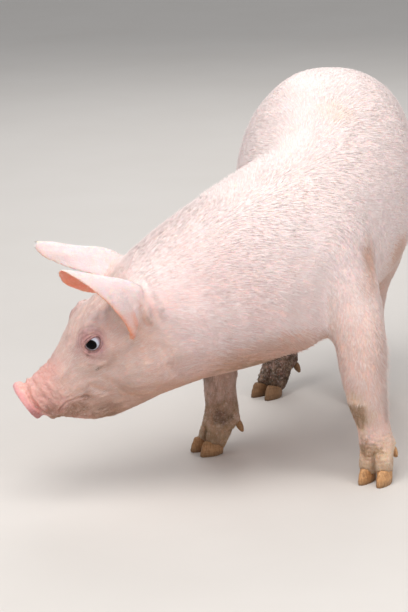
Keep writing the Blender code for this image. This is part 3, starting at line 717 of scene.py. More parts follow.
snout = headNear * ease(-0.085, -0.045, local[:, 0]) * (1 - ease(-0.012, -0.006, local[:, 0]))
fineWrinkle = ripple(local * np.array([1.0, 0.45, 0.45]), 0.0042, 3)
move += snout * muzzleSettings["wrinkle"] * fineWrinkle * ease(-0.05, 0.0, local[:, 2] + 0.03)
folded = 1 - np.abs(ripple(local * np.array([1.3, 0.5, 0.5]), 0.0075, 29))  # a net of creases
move -= snout * muzzleSettings["crease"] * ease(0.84, 1.0, folded)
lumps = headNear * muzzleSettings["lump"] * ripple(local, 0.016, 5) * ease(-0.21, -0.15, local[:, 0])
move += lumps * (1 - ease(-0.012, -0.004, local[:, 0]))

noseFront = headNear * ease(-0.0050, -0.0012, local[:, 0])
halfWide, halfHigh = muzzleSettings["noseHalf"]
rimRing = np.hypot(local[:, 1] / halfWide, (local[:, 2] + 0.001) / halfHigh)
move += noseFront * muzzleSettings["noseRim"] * bump(rimRing - 0.90, 0.10) * (rimRing < 1.05)
move += noseFront * muzzleSettings["noseGrain"] * ripple(local, 0.0022, 8)
groove = -noseFront * muzzleSettings["noseGroove"] * bump(local[:, 1], 0.0016)
move += groove * ease(0.002, 0.010, local[:, 2])
toNostril = np.hypot(mirrored[:, 1] - muzzleSettings["nostrilOut"], local[:, 2] + 0.001)
move += noseFront * muzzleSettings["nostrilRim"] * bump(toNostril - muzzleSettings["nostrilRadius"], 0.0016)

# the neck and body, in the places of the pose's first drawing
body = points - np.array(home)
bodyLines = {
    "armpitFold": (
        ((0.218, 0.060, 0.348), (0.2265, 0.079, 0.3135), (0.235, 0.088, 0.280)), 0.006, 0.0036, 0.0008),
    "neckCrease": (
        ((0.060, -0.075, 0.330), (0.072, -0.080, 0.280), (0.078, -0.070, 0.230)), 0.012, 0.0009, 0.0003),
    "throatCrease": (
        ((-0.040, -0.105, 0.250), (-0.032, -0.115, 0.215), (-0.020, -0.100, 0.180)), 0.008, 0.0014, 0.0009),
    "flankFold": (
        ((0.222, 0.330, 0.300), (0.226, 0.350, 0.330), (0.222, 0.365, 0.365)), 0.012, 0.0030, 0.0014),
    "rightFlankFold": (
        ((-0.030, 0.330, 0.300), (-0.034, 0.350, 0.330), (-0.030, 0.365, 0.365)), 0.012, 0.0030, 0.0014),
}
carve(body, bodyLines, 16, (0.2, 0.8), 2.0, 1.0)
unevenness = {"broad": 0.0012, "fine": 0.00012}
broad = bodyWeight * unevenness["broad"] * ripple(points, 0.055, 11)
move += broad + bodyWeight * unevenness["fine"] * ripple(points * np.array([1, 0.6, 1.4]), 0.016, 12)

teatRows = {
    "first": 0.200,
    "last": 0.395,
    "count": 6,
    "middle": 0.118,
    "drift": 0.030,  # how far the belly's middle leans to the right in each 0.2 along
    "side": 0.030,
    "stagger": 0.006,
    "size": 0.0032,
    "height": 0.0042,
}
under = meshNormals(skin.data)[:, 2] < -0.4
for k in range(teatRows["count"]):
    along = teatRows["first"] + (teatRows["last"] - teatRows["first"]) * k / (teatRows["count"] - 1)
    for hand in (1, -1):
        middleLine = teatRows["middle"] - teatRows["drift"] * (along - teatRows["first"]) / 0.2
        across = middleLine + hand * (teatRows["side"] + teatRows["stagger"] * (k % 2))
        near = np.hypot(body[:, 0] - across, body[:, 1] - along)
        move += under * teatRows["height"] * bump(near, teatRows["size"])

footSettings = {
    "cleftDepth": 0.0065,
    "cleftWidth": 0.0024,
    "cleftTop": 0.056,
    "wrinkle": 0.0062,
    "wrinkleDepth": 0.00075,
}
for leg in legNames:
    inner, outer = boxCentre(f"hoof_{leg}_inner"), boxCentre(f"hoof_{leg}_outer")
    apart = unit(np.array(outer - inner) * np.array([1, 1, 0]))
    rel = points - np.array((inner + outer) / 2)
    near = (np.hypot(rel[:, 0], rel[:, 1]) < 0.05) * (1 - ease(0.066, 0.085, points[:, 2]))
    cleft = near * bump(rel @ apart, footSettings["cleftWidth"])
    move -= footSettings["cleftDepth"] * (cleft * (1 - ease(0.032, footSettings["cleftTop"], points[:, 2])))
    level = points[:, 2] + 0.0022 * ripple(points, 0.014, 33)
    rolls = footSettings["wrinkleDepth"] * near * np.sin(level / footSettings["wrinkle"] * 2 * math.pi)
    move += rolls * ease(0.022, 0.030, points[:, 2]) * (0.6 + 0.4 * broken)

coatIn = skinSettings["coatDepth"] * (1 - isPart(labels, "ear", "nose")) * ease(0.03, 0.06, points[:, 2])
points += meshNormals(skin.data) * (move - coatIn)[:, None]
setPoints(skin.data, points)
print("folds carved")

# eyelids: a fine ring of skin let into a round opening, and the eye behind it
eyeSettings = {
    "radius": 0.0125,
    "gaze": {"forward": 14, "up": 4},  # degrees from straight sideways
    "slant": -9,  # degrees that the opening turns about the gaze, back corner up
    "holeRadius": 0.0180,  # of the round opening cut in the skin
    "halfLong": (64, 70),  # degrees to the front and back corner
    "halfHigh": (44, 38),  # degrees to the upper and lower lid
    "lidStandOff": 0.0011,
    "segments": 132,
    "steps": 30,
    "probe": 0.03,  # how far out of the eye's middle the skin is looked for
    # out from the lid's edge, width: the grooves, the swellings between them, the fine wrinkles
    "grooves": ((0.0030, 0.0009), (0.0058, 0.0010)),
    "swellings": ((0.0014, 0.0009), (0.0044, 0.0010)),
    "wrinkles": (0.0048, 0.0028),
    "grooveDepth": 0.0013,
    "swellingHeight": 0.0008,
    "wrinkleHeight": 0.00022,
    # degrees past the lid's edge, depth below the lid: how the edge turns in behind itself
    "turnedIn": ((-1.0, 0.0002), (-1.4, 0.0007), (0.5, 0.0012), (4.0, 0.0019), (7.0, 0.0040)),
}


def eyeFrame(side):
    hand = 1 if side == "left" else -1
    centre = leftEye if side == "left" else rightEye
    gaze = eyeSettings["gaze"]
    aside = math.radians(gaze["forward"])
    look = Vector((math.sin(aside), hand * math.cos(aside), 0))
    look = (look + Vector((0, 0, math.tan(math.radians(gaze["up"]))))).normalized()
    forward = (Vector((1, 0, 0)) - look * look.x).normalized()
    up = look.cross(forward) * hand
    slant = math.radians(eyeSettings["slant"])
    tilted = forward * math.cos(slant) - up * math.sin(slant)
    upright = up * math.cos(slant) + forward * math.sin(slant)
    return np.array(centre), headAxes @ np.array([tilted, upright, look]).T  # the axes are columns


def lidMargin(phi):  # degrees from the gaze to the lid's edge, phi from the front corner through the top
    high = np.where(np.sin(phi) >= 0, *eyeSettings["halfHigh"])
    long = np.where(np.cos(phi) >= 0, *eyeSettings["halfLong"])
    return 1 / np.sqrt((np.cos(phi) / long) ** 2 + (np.sin(phi) / high) ** 2)


def letInLids(side):
    # a round hole is cut in the skin as seen along the gaze, then rings run from it to the lid's edge
    centre, axes = eyeFrame(side)
    look = Vector(axes[:, 2])
    tree = treeOf(skin.data)
    bm = bmesh.new()
    bm.from_mesh(skin.data)
    rel = (meshPoints(skin.data) - centre) @ axes
    across = np.linalg.norm(rel[:, :2], axis=1)
    probe = eyeSettings["probe"]
    inside = (across < eyeSettings["holeRadius"]) & (rel[:, 2] > -0.012) & (rel[:, 2] < probe)
    bm.verts.ensure_lookup_table()
    bmesh.ops.delete(bm, geom=[bm.verts[i] for i in np.flatnonzero(inside)], context="VERTS")
    while True:
        knots = [v for v in bm.verts if sum(e.is_boundary for e in v.link_edges) > 2]
        if not knots:
            break
        bmesh.ops.delete(bm, geom=knots, context="VERTS")
    loose = [v for v in bm.verts if not v.link_faces]
    bmesh.ops.delete(bm, geom=loose, context="VERTS")
    hole = [e for e in bm.edges if e.is_boundary]

    count = eyeSettings["segments"]
    phi = np.linspace(0, 2 * np.pi, count, endpoint=False)
    margin = lidMargin(phi)
    ball = eyeSettings["radius"] + eyeSettings["lidStandOff"]
    inner = np.sin(np.radians(margin)) * ball  # how far the lid's edge lies from the gaze's axis
    innerDeep = np.cos(np.radians(margin)) * ball
    outer = eyeSettings["holeRadius"] - 0.0005
    steps = eyeSettings["steps"]
    rings = []

    def surfaceAt(reach):  # height of the skin above the eye's middle plane, along the gaze
        deep = np.empty(count)
        for i in range(count):
            flat = reach[i] * (np.cos(phi[i]) * axes[:, 0] + np.sin(phi[i]) * axes[:, 1])
            hit, _, _, far = tree.ray_cast(Vector(centre + flat) + look * probe, -look, 2 * probe)
            deep[i] = probe - far if hit is not None else innerDeep[i]
        return deep

    def ringAt(reach, deep):
        flat = np.outer(np.cos(phi) * reach, axes[:, 0]) + np.outer(np.sin(phi) * reach, axes[:, 1])
        return centre + flat + np.outer(deep, axes[:, 2])

    upper = ease(-0.2, 0.5, np.sin(phi))
    for k in range(steps + 1):
        share = (k / steps) ** 0.9  # 0 at the hole's rim, 1 at the lid's edge
        reach = outer + (inner - outer) * share
        onBall = np.sqrt(np.maximum(ball**2 - reach**2, 0.0)) * (reach < ball)
        blend = ease(0.05, 0.95, np.full(count, share))
        gap = reach - inner  # out from the lid's edge
        lid = innerDeep + np.minimum(onBall - innerDeep, 0.0) * 0.75  # the lid falls back over the ball
        deep = surfaceAt(reach) * (1 - blend) + np.maximum(lid, innerDeep - 0.55 * gap) * blend
        near, far = (bump(gap - out, width) for out, width in eyeSettings["grooves"])
        groove = near * (0.45 + 0.55 * upper) + 0.55 * far
        near, far = (bump(gap - out, width) for out, width in eyeSettings["swellings"])
        swelling = 0.9 * near + 0.8 * far
        out, width = eyeSettings["wrinkles"]
        wrinkle = np.sin(gap * 3800 + 2.0 * np.sin(2 * phi + 1)) * bump(gap - out, width)
        relief = -eyeSettings["grooveDepth"] * groove + eyeSettings["swellingHeight"] * swelling
        relief = relief + eyeSettings["wrinkleHeight"] * wrinkle
        fade = ease(0.03, 0.3, np.full(count, share))
        rings.append(ringAt(reach, deep + relief * fade))
    for turnedIn, depth in eyeSettings["turnedIn"]:
        theta = np.radians(margin + turnedIn)
        rings.append(ringAt(np.sin(theta) * (ball - depth), np.cos(theta) * (ball - depth)))

    loops = [[bm.verts.new(p) for p in ring] for ring in rings]
    for a, b in zip(loops, loops[1:]):
        for k in range(count):
            j = (k + 1) % count
            bm.faces.new((a[k], a[j], b[j], b[k]))
    middle = bm.verts.new(centre + axes[:, 2] * (ball - 0.009))
    for k in range(count):
        bm.faces.new((loops[-1][k], loops[-1][(k + 1) % count], middle))
    rim = [bm.edges.get((loops[0][k], loops[0][(k + 1) % count])) for k in range(count)]
    bmesh.ops.bridge_loops(bm, edges=hole + rim)
    bmesh.ops.recalc_face_normals(bm, faces=bm.faces[:])
    bm.to_mesh(skin.data)
    bm.free()
    skin.data.update()


for side in ("left", "right"):
    letInLids(side)
smoothShaded(skin.data)
print("lids let in")

points = meshPoints(skin.data)
normals = meshNormals(skin.data)
edges = meshEdges(skin.data)
labels = regionsOf(points)


# markings with painted shade and painted light, shared by the skin and the coat
tones = {
    "back": (0.875, 0.683, 0.640),
    "side": (0.882, 0.682, 0.662),
    "neck": (0.820, 0.545, 0.515),
    "leg": (0.715, 0.455, 0.370),
    "face": (0.785, 0.510, 0.430),
    # a dark brown for painted shade under the body and under the ear, with some dirt
    "belly": (0.560, 0.290, 0.185),
    "snout": (0.720, 0.370, 0.320),
    "nose": (0.860, 0.400, 0.400),
    "noseEdge": (0.340, 0.075, 0.080),
    "whiskerPad": (0.390, 0.185, 0.130),
    "chin": (0.260, 0.130, 0.062),
    "lid": (0.480, 0.235, 0.255),
    "lidEdge": (0.130, 0.055, 0.050),
    # the inner ear and ear rims: pink skin with the painted orange glow of light through the thin ear
    "earInside": (0.760, 0.245, 0.110),
    "earRim": (0.850, 0.330, 0.200),
    "earBack": (0.905, 0.735, 0.735),
    "mud": (0.250, 0.145, 0.065),
    # the darkest mud, also standing for painted shade on the far right legs
    "darkMud": (0.070, 0.038, 0.018),
    "stain": (0.780, 0.540, 0.300),
    # a dark red for flecks, and for painted shade in the nose fold
    "fleck": (0.420, 0.130, 0.080),
    "crust": (0.130, 0.075, 0.050),
}


mudPatches = (
    # where, radii, strength, tone: in the places of the pose's first drawing
    ((0.2140, 0.026, 0.112), (0.030, 0.038, 0.032), 0.50, "stain"),
    ((0.2120, 0.022, 0.106), (0.022, 0.028, 0.020), 0.85, "mud"),
    ((0.2250, 0.016, 0.054), (0.028, 0.030, 0.014), 0.92, "mud"),
    ((0.2180, 0.050, 0.145), (0.020, 0.035, 0.022), 0.45, "mud"),
    ((0.2250, 0.035, 0.028), (0.040, 0.050, 0.018), 0.40, "mud"),
    ((-0.010, 0.120, 0.200), (0.060, 0.070, 0.070), 0.38, "mud"),
    ((-0.020, 0.118, 0.100), (0.045, 0.060, 0.080), 0.54, "mud"),
    ((-0.020, 0.130, 0.050), (0.050, 0.070, 0.045), 0.66, "mud"),
    # darkest mud on the right legs, deepened as painted shade, most on the hind leg
    ((-0.030, 0.150, 0.135), (0.025, 0.040, 0.040), 0.50, "darkMud"),
    ((-0.012, 0.130, 0.060), (0.016, 0.022, 0.014), 0.70, "darkMud"),
    ((0.006, 0.450, 0.100), (0.080, 0.110, 0.160), 1.25, "darkMud"),
    ((0.150, 0.455, 0.060), (0.060, 0.080, 0.075), 0.75, "mud"),
    ((0.085, 0.000, 0.184), (0.060, 0.070, 0.012), 0.60, "mud"),
    ((0.130, 0.080, 0.188), (0.050, 0.060, 0.012), 0.60, "mud"),
    ((0.118, 0.300, 0.222), (0.060, 0.120, 0.014), 0.45, "mud"),
)
shadePatches = (
    # painted shade in the armpits, on the flanks and under the chest and belly, and painted light on the
    # throat, in the same places
    ((0.2260, 0.080, 0.320), (0.022, 0.035, 0.050), 0.75, "belly"),
    ((0.2230, 0.062, 0.285), (0.030, 0.035, 0.030), 0.45, "belly"),
    ((0.2480, 0.205, 0.300), (0.030, 0.060, 0.050), 0.75, "belly"),
    ((0.1700, 0.150, 0.240), (0.060, 0.120, 0.030), 0.80, "belly"),
    ((0.0700, -0.060, 0.200), (0.070, 0.060, 0.030), 0.65, "belly"),
    ((0.0100, -0.090, 0.190), (0.060, 0.060, 0.040), 0.45, "belly"),
    ((0.0100, 0.300, 0.300), (0.040, 0.080, 0.060), 0.50, "belly"),
    ((0.1290, -0.020, 0.226), (0.070, 0.070, 0.022), 0.60, "belly"),
    # painted light: these two lighten the throat and the neck
    ((0.0000, -0.088, 0.197), (0.050, 0.050, 0.030), 0.45, "neck"),
    ((0.0440, -0.083, 0.270), (0.060, 0.060, 0.040), 0.35, "side"),
)
stainPatches = (
    # where, radii
    ((0.152, 0.190, 0.518), (0.030, 0.022, 0.030)),
    ((0.170, 0.180, 0.508), (0.022, 0.016, 0.020)),
    ((0.086, 0.060, 0.425), (0.012, 0.012, 0.012)),
    ((0.178, 0.095, 0.420), (0.012, 0.016, 0.012)),
    ((0.098, 0.470, 0.500), (0.020, 0.018, 0.018)),
)


facePatches = (
    # where, radii, strength, tone: in the head's axes, on both sides
    ((-0.022, 0.026, -0.030), (0.022, 0.020, 0.020), 0.85, "whiskerPad"),
    ((-0.048, 0.022, -0.046), (0.034, 0.030, 0.022), 0.80, "chin"),
    ((-0.020, 0.010, -0.044), (0.024, 0.022, 0.014), 0.85, "chin"),
    ((-0.080, 0.022, -0.075), (0.040, 0.030, 0.026), 0.60, "chin"),
    ((-0.0747, 0.0384, -0.0340), (0.010, 0.010, 0.008), 0.55, "whiskerPad"),
    # painted light above the eye, lightening the ear's shadow there
    ((-0.160, 0.043, 0.048), (0.026, 0.018, 0.013), 0.55, "side"),
    ((-0.130, 0.048, 0.012), (0.026, 0.020, 0.016), 0.35, "lid"),
    ((-0.108, 0.036, 0.030), (0.014, 0.014, 0.014), 0.35, "lid"),
    ((-0.055, 0.010, 0.024), (0.035, 0.026, 0.020), 0.80, "snout"),
    # painted shadow on the cheek below the ear
    ((-0.190, 0.065, -0.010), (0.030, 0.030, 0.022), 0.22, "belly"),
)
mouthPath = (
    (0.000, 0.012, -0.0325), (-0.026, 0.0285, -0.0320), (-0.060, 0.0365, -0.0290), (-0.073, 0.040, -0.0345),
)
faceMarks = (
    # path, width, strength, tone: in the head's axes, on both sides
    (mouthPath, 0.0022, 0.36, "crust"),
    # painted shade along the nose fold
    (((-0.0110, 0.027, 0.0020), (-0.0140, 0.022, 0.0140), (-0.0185, 0.004, 0.0235)), 0.0020, 0.35, "fleck"),
    (((-0.073, 0.040, -0.0345), (-0.080, 0.042, -0.044)), 0.0065, 0.30, "crust"),
    (((-0.112, 0.049, -0.0075), (-0.117, 0.050, -0.0060)), 0.0019, 0.85, "crust"),
    (((-0.1225, 0.0455, 0.0205), (-0.1165, 0.0445, 0.0175)), 0.0022, 0.60, "crust"),
)
markingSettings = {
    # strengths of the tones
    "back": 0.9,
    "neck": 0.75,
    "belly": 0.85,
    "snout": 0.8,
    "nose": 0.95,
    "noseEdge": 0.9,
    "lidCrease": 0.35,
    "lidEdge": 0.85,
    "leg": 0.75,
    "earBack": 0.80,
    "earInside": 0.85,
    "earRims": {"outerRim": 0.75, "innerRim": 0.45},
    "mottle": 0.035,
    "blush": 0.25,
    "stain": 0.20,
    "speck": 0.35,
    "toeGrime": 0.66,
    "mud": 0.36,
}


def markingsShadeAndLight(points, normals, labels):
    # the skin's colour at each point with its painted shade and light, from the lie of the body and a few
    # named patches
    local = toHead(points)
    body = points - np.array(home)
    mirror = mirrorOf(local)
    high, up = points[:, 2], normals[:, 2]
    much = markingSettings
    colour = np.tile(np.array(tones["side"]), (len(points), 1))

    def paint(weight, tone):
        colour[:] = colour + (np.array(tones[tone]) - colour) * weight[:, None]

    paint(ease(0.1, 0.95, up) * much["back"], "back")
    neckWeight = ease(-0.46, -0.30, local[:, 0]) * (mirror[:, 1] < 0.2)
    paint(neckWeight * (1 - 0.6 * ease(0.0, 0.9, up)) * much["neck"], "neck")
    inHead = isPart(labels, "head", "lower_jaw", "nose_disc").astype(float)
    faceWeight = ease(-0.25, -0.19, local[:, 0]) * inHead
    paint(faceWeight * (0.92 - 0.25 * ease(0.5, 1.0, up)), "face")
    # painted shade with some dirt: skin that faces down takes the dark belly tone
    paint(ease(0.1, 0.95, -up) * much["belly"], "belly")
    paint(faceWeight * ease(-0.075, -0.035, local[:, 0]) * much["snout"], "snout")
    onNose = inHead * ease(-0.0125, -0.0050, local[:, 0])
    paint(onNose * much["nose"], "nose")
    lowNose = onNose * ease(0.010, -0.012, local[:, 2]) * (1 - ease(0.0005, 0.0035, local[:, 0]))
    paint(much["noseEdge"] * lowNose * ease(0.006, 0.018, mirror[:, 1] - local[:, 2] * 0.5), "noseEdge")
    for centre, radii, amount, tone in facePatches:
        paint(inHead * (1 - onNose) * amount * (1 - ease(0.35, 1.1, reachOf(mirror, centre, radii))), tone)

    around = eyeDistance(points)
    ring = inHead * (1 - ease(0.0150, 0.0285, around + 0.0015 * ripple(points, 0.007, 22)))
    paint(ring * (0.72 + 0.22 * ripple(points, 0.005, 21)), "lid")
    # painted shade in the creases of the upper lid, dark lines over the carved grooves above the eye
    over = ease(-0.004, 0.008, mirror[:, 2] - headSettings["eyeAt"][2])
    creases = bump(around - 0.0172, 0.0008) + 0.8 * bump(around - 0.0205, 0.0009)
    creases = creases + 0.5 * bump(around - 0.0240, 0.0010)
    paint(np.clip(inHead * creases * over, 0, 1) * much["lidCrease"], "lidEdge")
    paint(inHead * (1 - ease(0.0137, 0.0152, around)) * much["lidEdge"], "lidEdge")

    onLeg = isPart(labels, *legNames).astype(float) * (1 - ease(0.20, 0.34, high))
    paint(onLeg * much["leg"], "leg")
    for centre, radii, amount, tone in shadePatches:
        paint(amount * (1 - ease(0.2, 1.1, reachOf(body, centre, radii))), tone)

    onEar = isPart(labels, "ear").astype(float)
    paint(onEar * ease(0.02, 0.08, local[:, 2]) * much["earBack"], "earBack")
    # inner ear and rims: pink skin with painted glow of light through the ear
    paint(onEar * earInsideness(points, normals) * much["earInside"], "earInside")
    for rim, amount in much["earRims"].items():
        gap, along = distanceToPath(asLeftEar(local), curveThrough(earSettings[rim], 24))
        paint(onEar * amount * bump(gap, 0.0050) * ease(0.0, 0.2, along), "earRim")

    colour *= (1 + much["mottle"] * ripple(points, 0.030, 31, 3))[:, None]
    blush = ease(0.1, 1.2, ripple(points, 0.045, 33)) * much["blush"]
    paint(blush * (1 - inHead * 0.5), "neck")
    wobble, finer = ripple(points, 0.012, 41, 3), ripple(points, 0.005, 43)
    for centre, radii in stainPatches:
        paint(much["stain"] * (1 - ease(0.5, 1.15, reachOf(body, centre, radii) + 0.25 * wobble)), "stain")
    flecks = ease(0.960, 0.985, ripple(points, 0.0085, 47, 1)) * much["speck"]
    paint(flecks * (body[:, 2] > 0.12), "fleck")
    paint(ease(0.90, 0.97, ripple(points, 0.0060, 53, 1)) * much["speck"] * inHead, "crust")

    paint((1 - ease(0.030, 0.088, high + 0.018 * wobble)) * much["toeGrime"], "stain")
    paint((1 - ease(0.016, 0.040, high + 0.006 * wobble)) * much["mud"], "mud")
    speckle = 0.65 + 0.35 * ease(-0.6, 0.5, ripple(points, 0.0038, 61))
    for centre, radii, amount, tone in mudPatches:
        reach = reachOf(body, centre, radii) + 0.30 * wobble + 0.16 * finer
        paint(np.clip(amount * (1 - ease(0.62, 1.20, reach)) * speckle, 0, 1), tone)
    for path, width, amount, tone in faceMarks:
        gap, _ = distanceToPath(mirror, np.array(path))
        paint(amount * bump(gap, width) * inHead, tone)
    return np.clip(colour, 0.01, 0.97)


def earInsideness(points, normals):
    # 1 on the hollow side of an ear, from the way that the skin faces
    local = toHead(points)
    facing = normals @ headAxes
    hand = np.where(local[:, 1] >= 0, 1.0, -1.0)
    opening = np.stack((np.full(len(points), 0.88), hand * 0.25, np.full(len(points), -0.38)), axis=1)
    return ease(0.0, 0.5, (facing * opening).sum(axis=1))


skinColour = markingsShadeAndLight(points, normals, labels)


def writeColour(mesh, name, colour):
    layer = mesh.color_attributes.new(name, "FLOAT_COLOR", "POINT")
    layer.data.foreach_set("color", np.hstack((colour, np.ones((len(colour), 1)))).astype(np.float32).ravel())


def writeNumber(mesh, name, values):
    layer = mesh.attributes.new(name, "FLOAT", "POINT")
    layer.data.foreach_set("value", values.astype(np.float32))


# the skin's colour, painted shade and painted light included
writeColour(skin.data, "marking", skinColour)
writeNumber(skin.data, "bare", softened(isPart(labels, "nose"), 4, 0.7))
thinness = isPart(labels, "ear") * ease(0.03, 0.09, toHead(points)[:, 2] * 0.8 + 0.02)
writeNumber(skin.data, "thin", softened(thinness, 20, 0.9))
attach(skin, "root")
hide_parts(*fleshNodes)
print("skin marked")


def skinMaterial():
    n = Nodes("pigSkin")
    marking = n.attribute("marking")
    bare = n.attribute("bare", "Fac")
    mottle = n.noise(95, 4, 0.6)
    veins = n.noise(28, 3, 0.5, distortion=1.2)
    colour = n.mix(n.ramp(mottle, 0.35, 0.75, 0.0, 0.16), marking, (0.80, 0.36, 0.32))
    colour = n.mix(n.ramp(veins, 0.52, 0.70, 0.0, 0.12), colour, (0.92, 0.78, 0.72))
    pores = n.cells(900)
    creases = n.noise(1.0, 4, 0.62, n.stretched((150, 150, 520)), 0.6)
    grain = n.noise(650, 3, 0.6)
    streaks = n.noise(1.0, 3, 0.6, n.stretched((420, 60, 420), (20, 0, 0)), 0.3)
    height = n.total((creases, 0.55), (grain, 0.30), (streaks, 0.45), (n.ramp(pores, 0.0, 0.35), 0.20))
    colour = n.mix(n.ramp(streaks, 0.45, 0.75, 0.0, 0.22), colour, (0.95, 0.88, 0.83))
    rough = n.maths("ADD", n.ramp(mottle, 0.3, 0.8, 0.50, 0.66), n.maths("MULTIPLY", bare, -0.16))
    return n.finish(
        Base_Color=colour,
        Roughness=rough,
        Normal=n.bump(height, 0.55, 0.0016),
        Subsurface_Weight=n.ramp(n.attribute("thin", "Fac"), 0.0, 1.0, 0.35, 0.80),
        Subsurface_Radius=(1.0, 0.36, 0.20),
        Subsurface_Scale=0.006,
        Specular_IOR_Level=0.42,
    )


skin.data.materials.append(skinMaterial())

# eyes
eyeLook = {
    "rings": 64,
    "sides": 72,
    "iris": 41.0,  # degrees from the eye's axis
    "pupil": 22.0,
    "corneaRise": 0.0009,
    "look": {"forward": 9, "up": 6},
}


def makeEye(side):
    centre, axes = eyeFrame(side)
    look = eyeLook["look"]
    axes = axes @ np.array(turned(x=look["up"], y=look["forward"]).to_3x3())
    vertices, faces, angles = [], [], []
    rings, sides = eyeLook["rings"], eyeLook["sides"]
    for i in range(rings + 1):
        theta = math.pi * i / rings
        degrees = math.degrees(theta)
        rise = eyeLook["corneaRise"] * float(1 - ease(4, eyeLook["iris"] + 3, degrees))
        radius = eyeSettings["radius"] - 0.0003 + rise
        for k in range(sides if 0 < i < rings else 1):
            phi = 2 * math.pi * k / sides
            flat = math.sin(theta)
            rel = np.array((flat * math.cos(phi), flat * math.sin(phi), math.cos(theta)))
            vertices.append(centre + axes @ (rel * radius))
            angles.append(degrees)
    for k in range(sides):
        j = (k + 1) % sides
        faces.append((0, 1 + k, 1 + j))
        last = 1 + (rings - 2) * sides
        faces.append((last + j, last + k, len(vertices) - 1))
        for i in range(rings - 2):
            a = 1 + i * sides
            faces.append((a + k, a + sides + k, a + sides + j, a + j))
    eye = newObject("eye" + side.capitalize(), vertices, faces)
    bm = bmesh.new()
    bm.from_mesh(eye.data)
    bmesh.ops.recalc_face_normals(bm, faces=bm.faces[:])
    bm.to_mesh(eye.data)
    bm.free()
    writeNumber(eye.data, "fromGaze", np.array(angles))
    smoothShaded(eye.data)
    eye.data.materials.append(eyeMaterial)
    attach(eye, "root")
    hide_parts("eye_" + side)


def makeEyeMaterial():
    n = Nodes("wetEye")
    angle = n.attribute("fromGaze", "Fac")
    fibres = n.noise(900, 3, 0.6)
    iris = n.mix(n.ramp(fibres, 0.35, 0.7), (0.002, 0.0015, 0.002), (0.008, 0.005, 0.004))
    iris = n.mix(n.ramp(angle, eyeLook["pupil"] - 2, eyeLook["pupil"] + 2), (0.002, 0.002, 0.003), iris)
    vessels = n.noise(420, 4, 0.65, distortion=2.0)
    white = n.mix(n.ramp(vessels, 0.50, 0.66, 0.0, 0.40), (0.66, 0.72, 0.84), (0.60, 0.34, 0.34))
    white = n.mix(n.ramp(angle, 52, 76, 0.0, 0.75), white, (0.40, 0.16, 0.15))
    limbus = n.ramp(angle, eyeLook["iris"] - 3, eyeLook["iris"] + 3)
    return n.finish(
        Base_Color=n.mix(limbus, iris, white),
        Roughness=0.20,
        Coat_Weight=0.22,
        Coat_IOR=1.36,
        Coat_Roughness=0.015,
        Specular_IOR_Level=0.0,
    )


eyeMaterial = makeEyeMaterial()
for side in ("left", "right"):
    makeEye(side)
print("eyes made")

# hooves and dewclaws
hoofSettings = {
    "cuts": 5,
    "rounds": 16,
    "ring": 0.0021,
    "ringDepth": 0.00028,
    "chip": 0.0006,
    "rise": 0.0010,
    "flatSole": 0.0007,
    # how much darker each hoof is painted, most on the right hind
    "grime": {"hindleg_right": 0.72, "foreleg_right": 0.35, "hindleg_left": 0.25},
}


def hornMaterial():
    n = Nodes("horn")
    height = n.add("SeparateXYZ", {0: n.coordinates})
    rings = n.noise(1.0, 3, 0.6, n.stretched((60, 60, 700)))
    streaks = n.noise(1.0, 3, 0.6, n.stretched((520, 520, 60)))
    patches = n.noise(120, 4, 0.6)
    horn = n.mix(n.ramp(streaks, 0.35, 0.7), (0.480, 0.235, 0.095), (0.700, 0.400, 0.190))
    horn = n.mix(n.ramp(rings, 0.45, 0.72, 0.0, 0.50), horn, (0.300, 0.145, 0.060))
    atSole = n.ramp(height.outputs[2], 0.012, 0.0, 0.0, 0.55)
    dirt = n.maths("ADD", atSole, n.ramp(patches, 0.5, 0.75, 0.0, 0.55))
    horn = n.mix(dirt, horn, (0.150, 0.085, 0.042))
    # each hoof painted darker by its own amount
    horn = n.mix(n.attribute("grime", "Fac"), horn, (0.090, 0.050, 0.026))
    return n.finish(
        Base_Color=horn,
        Roughness=n.ramp(patches, 0.3, 0.8, 0.42, 0.75),
        Normal=n.bump(n.total((rings, 0.6), (streaks, 0.4)), 0.6, 0.0008),
        Specular_IOR_Level=0.45,
    )


hornLook = hornMaterial()


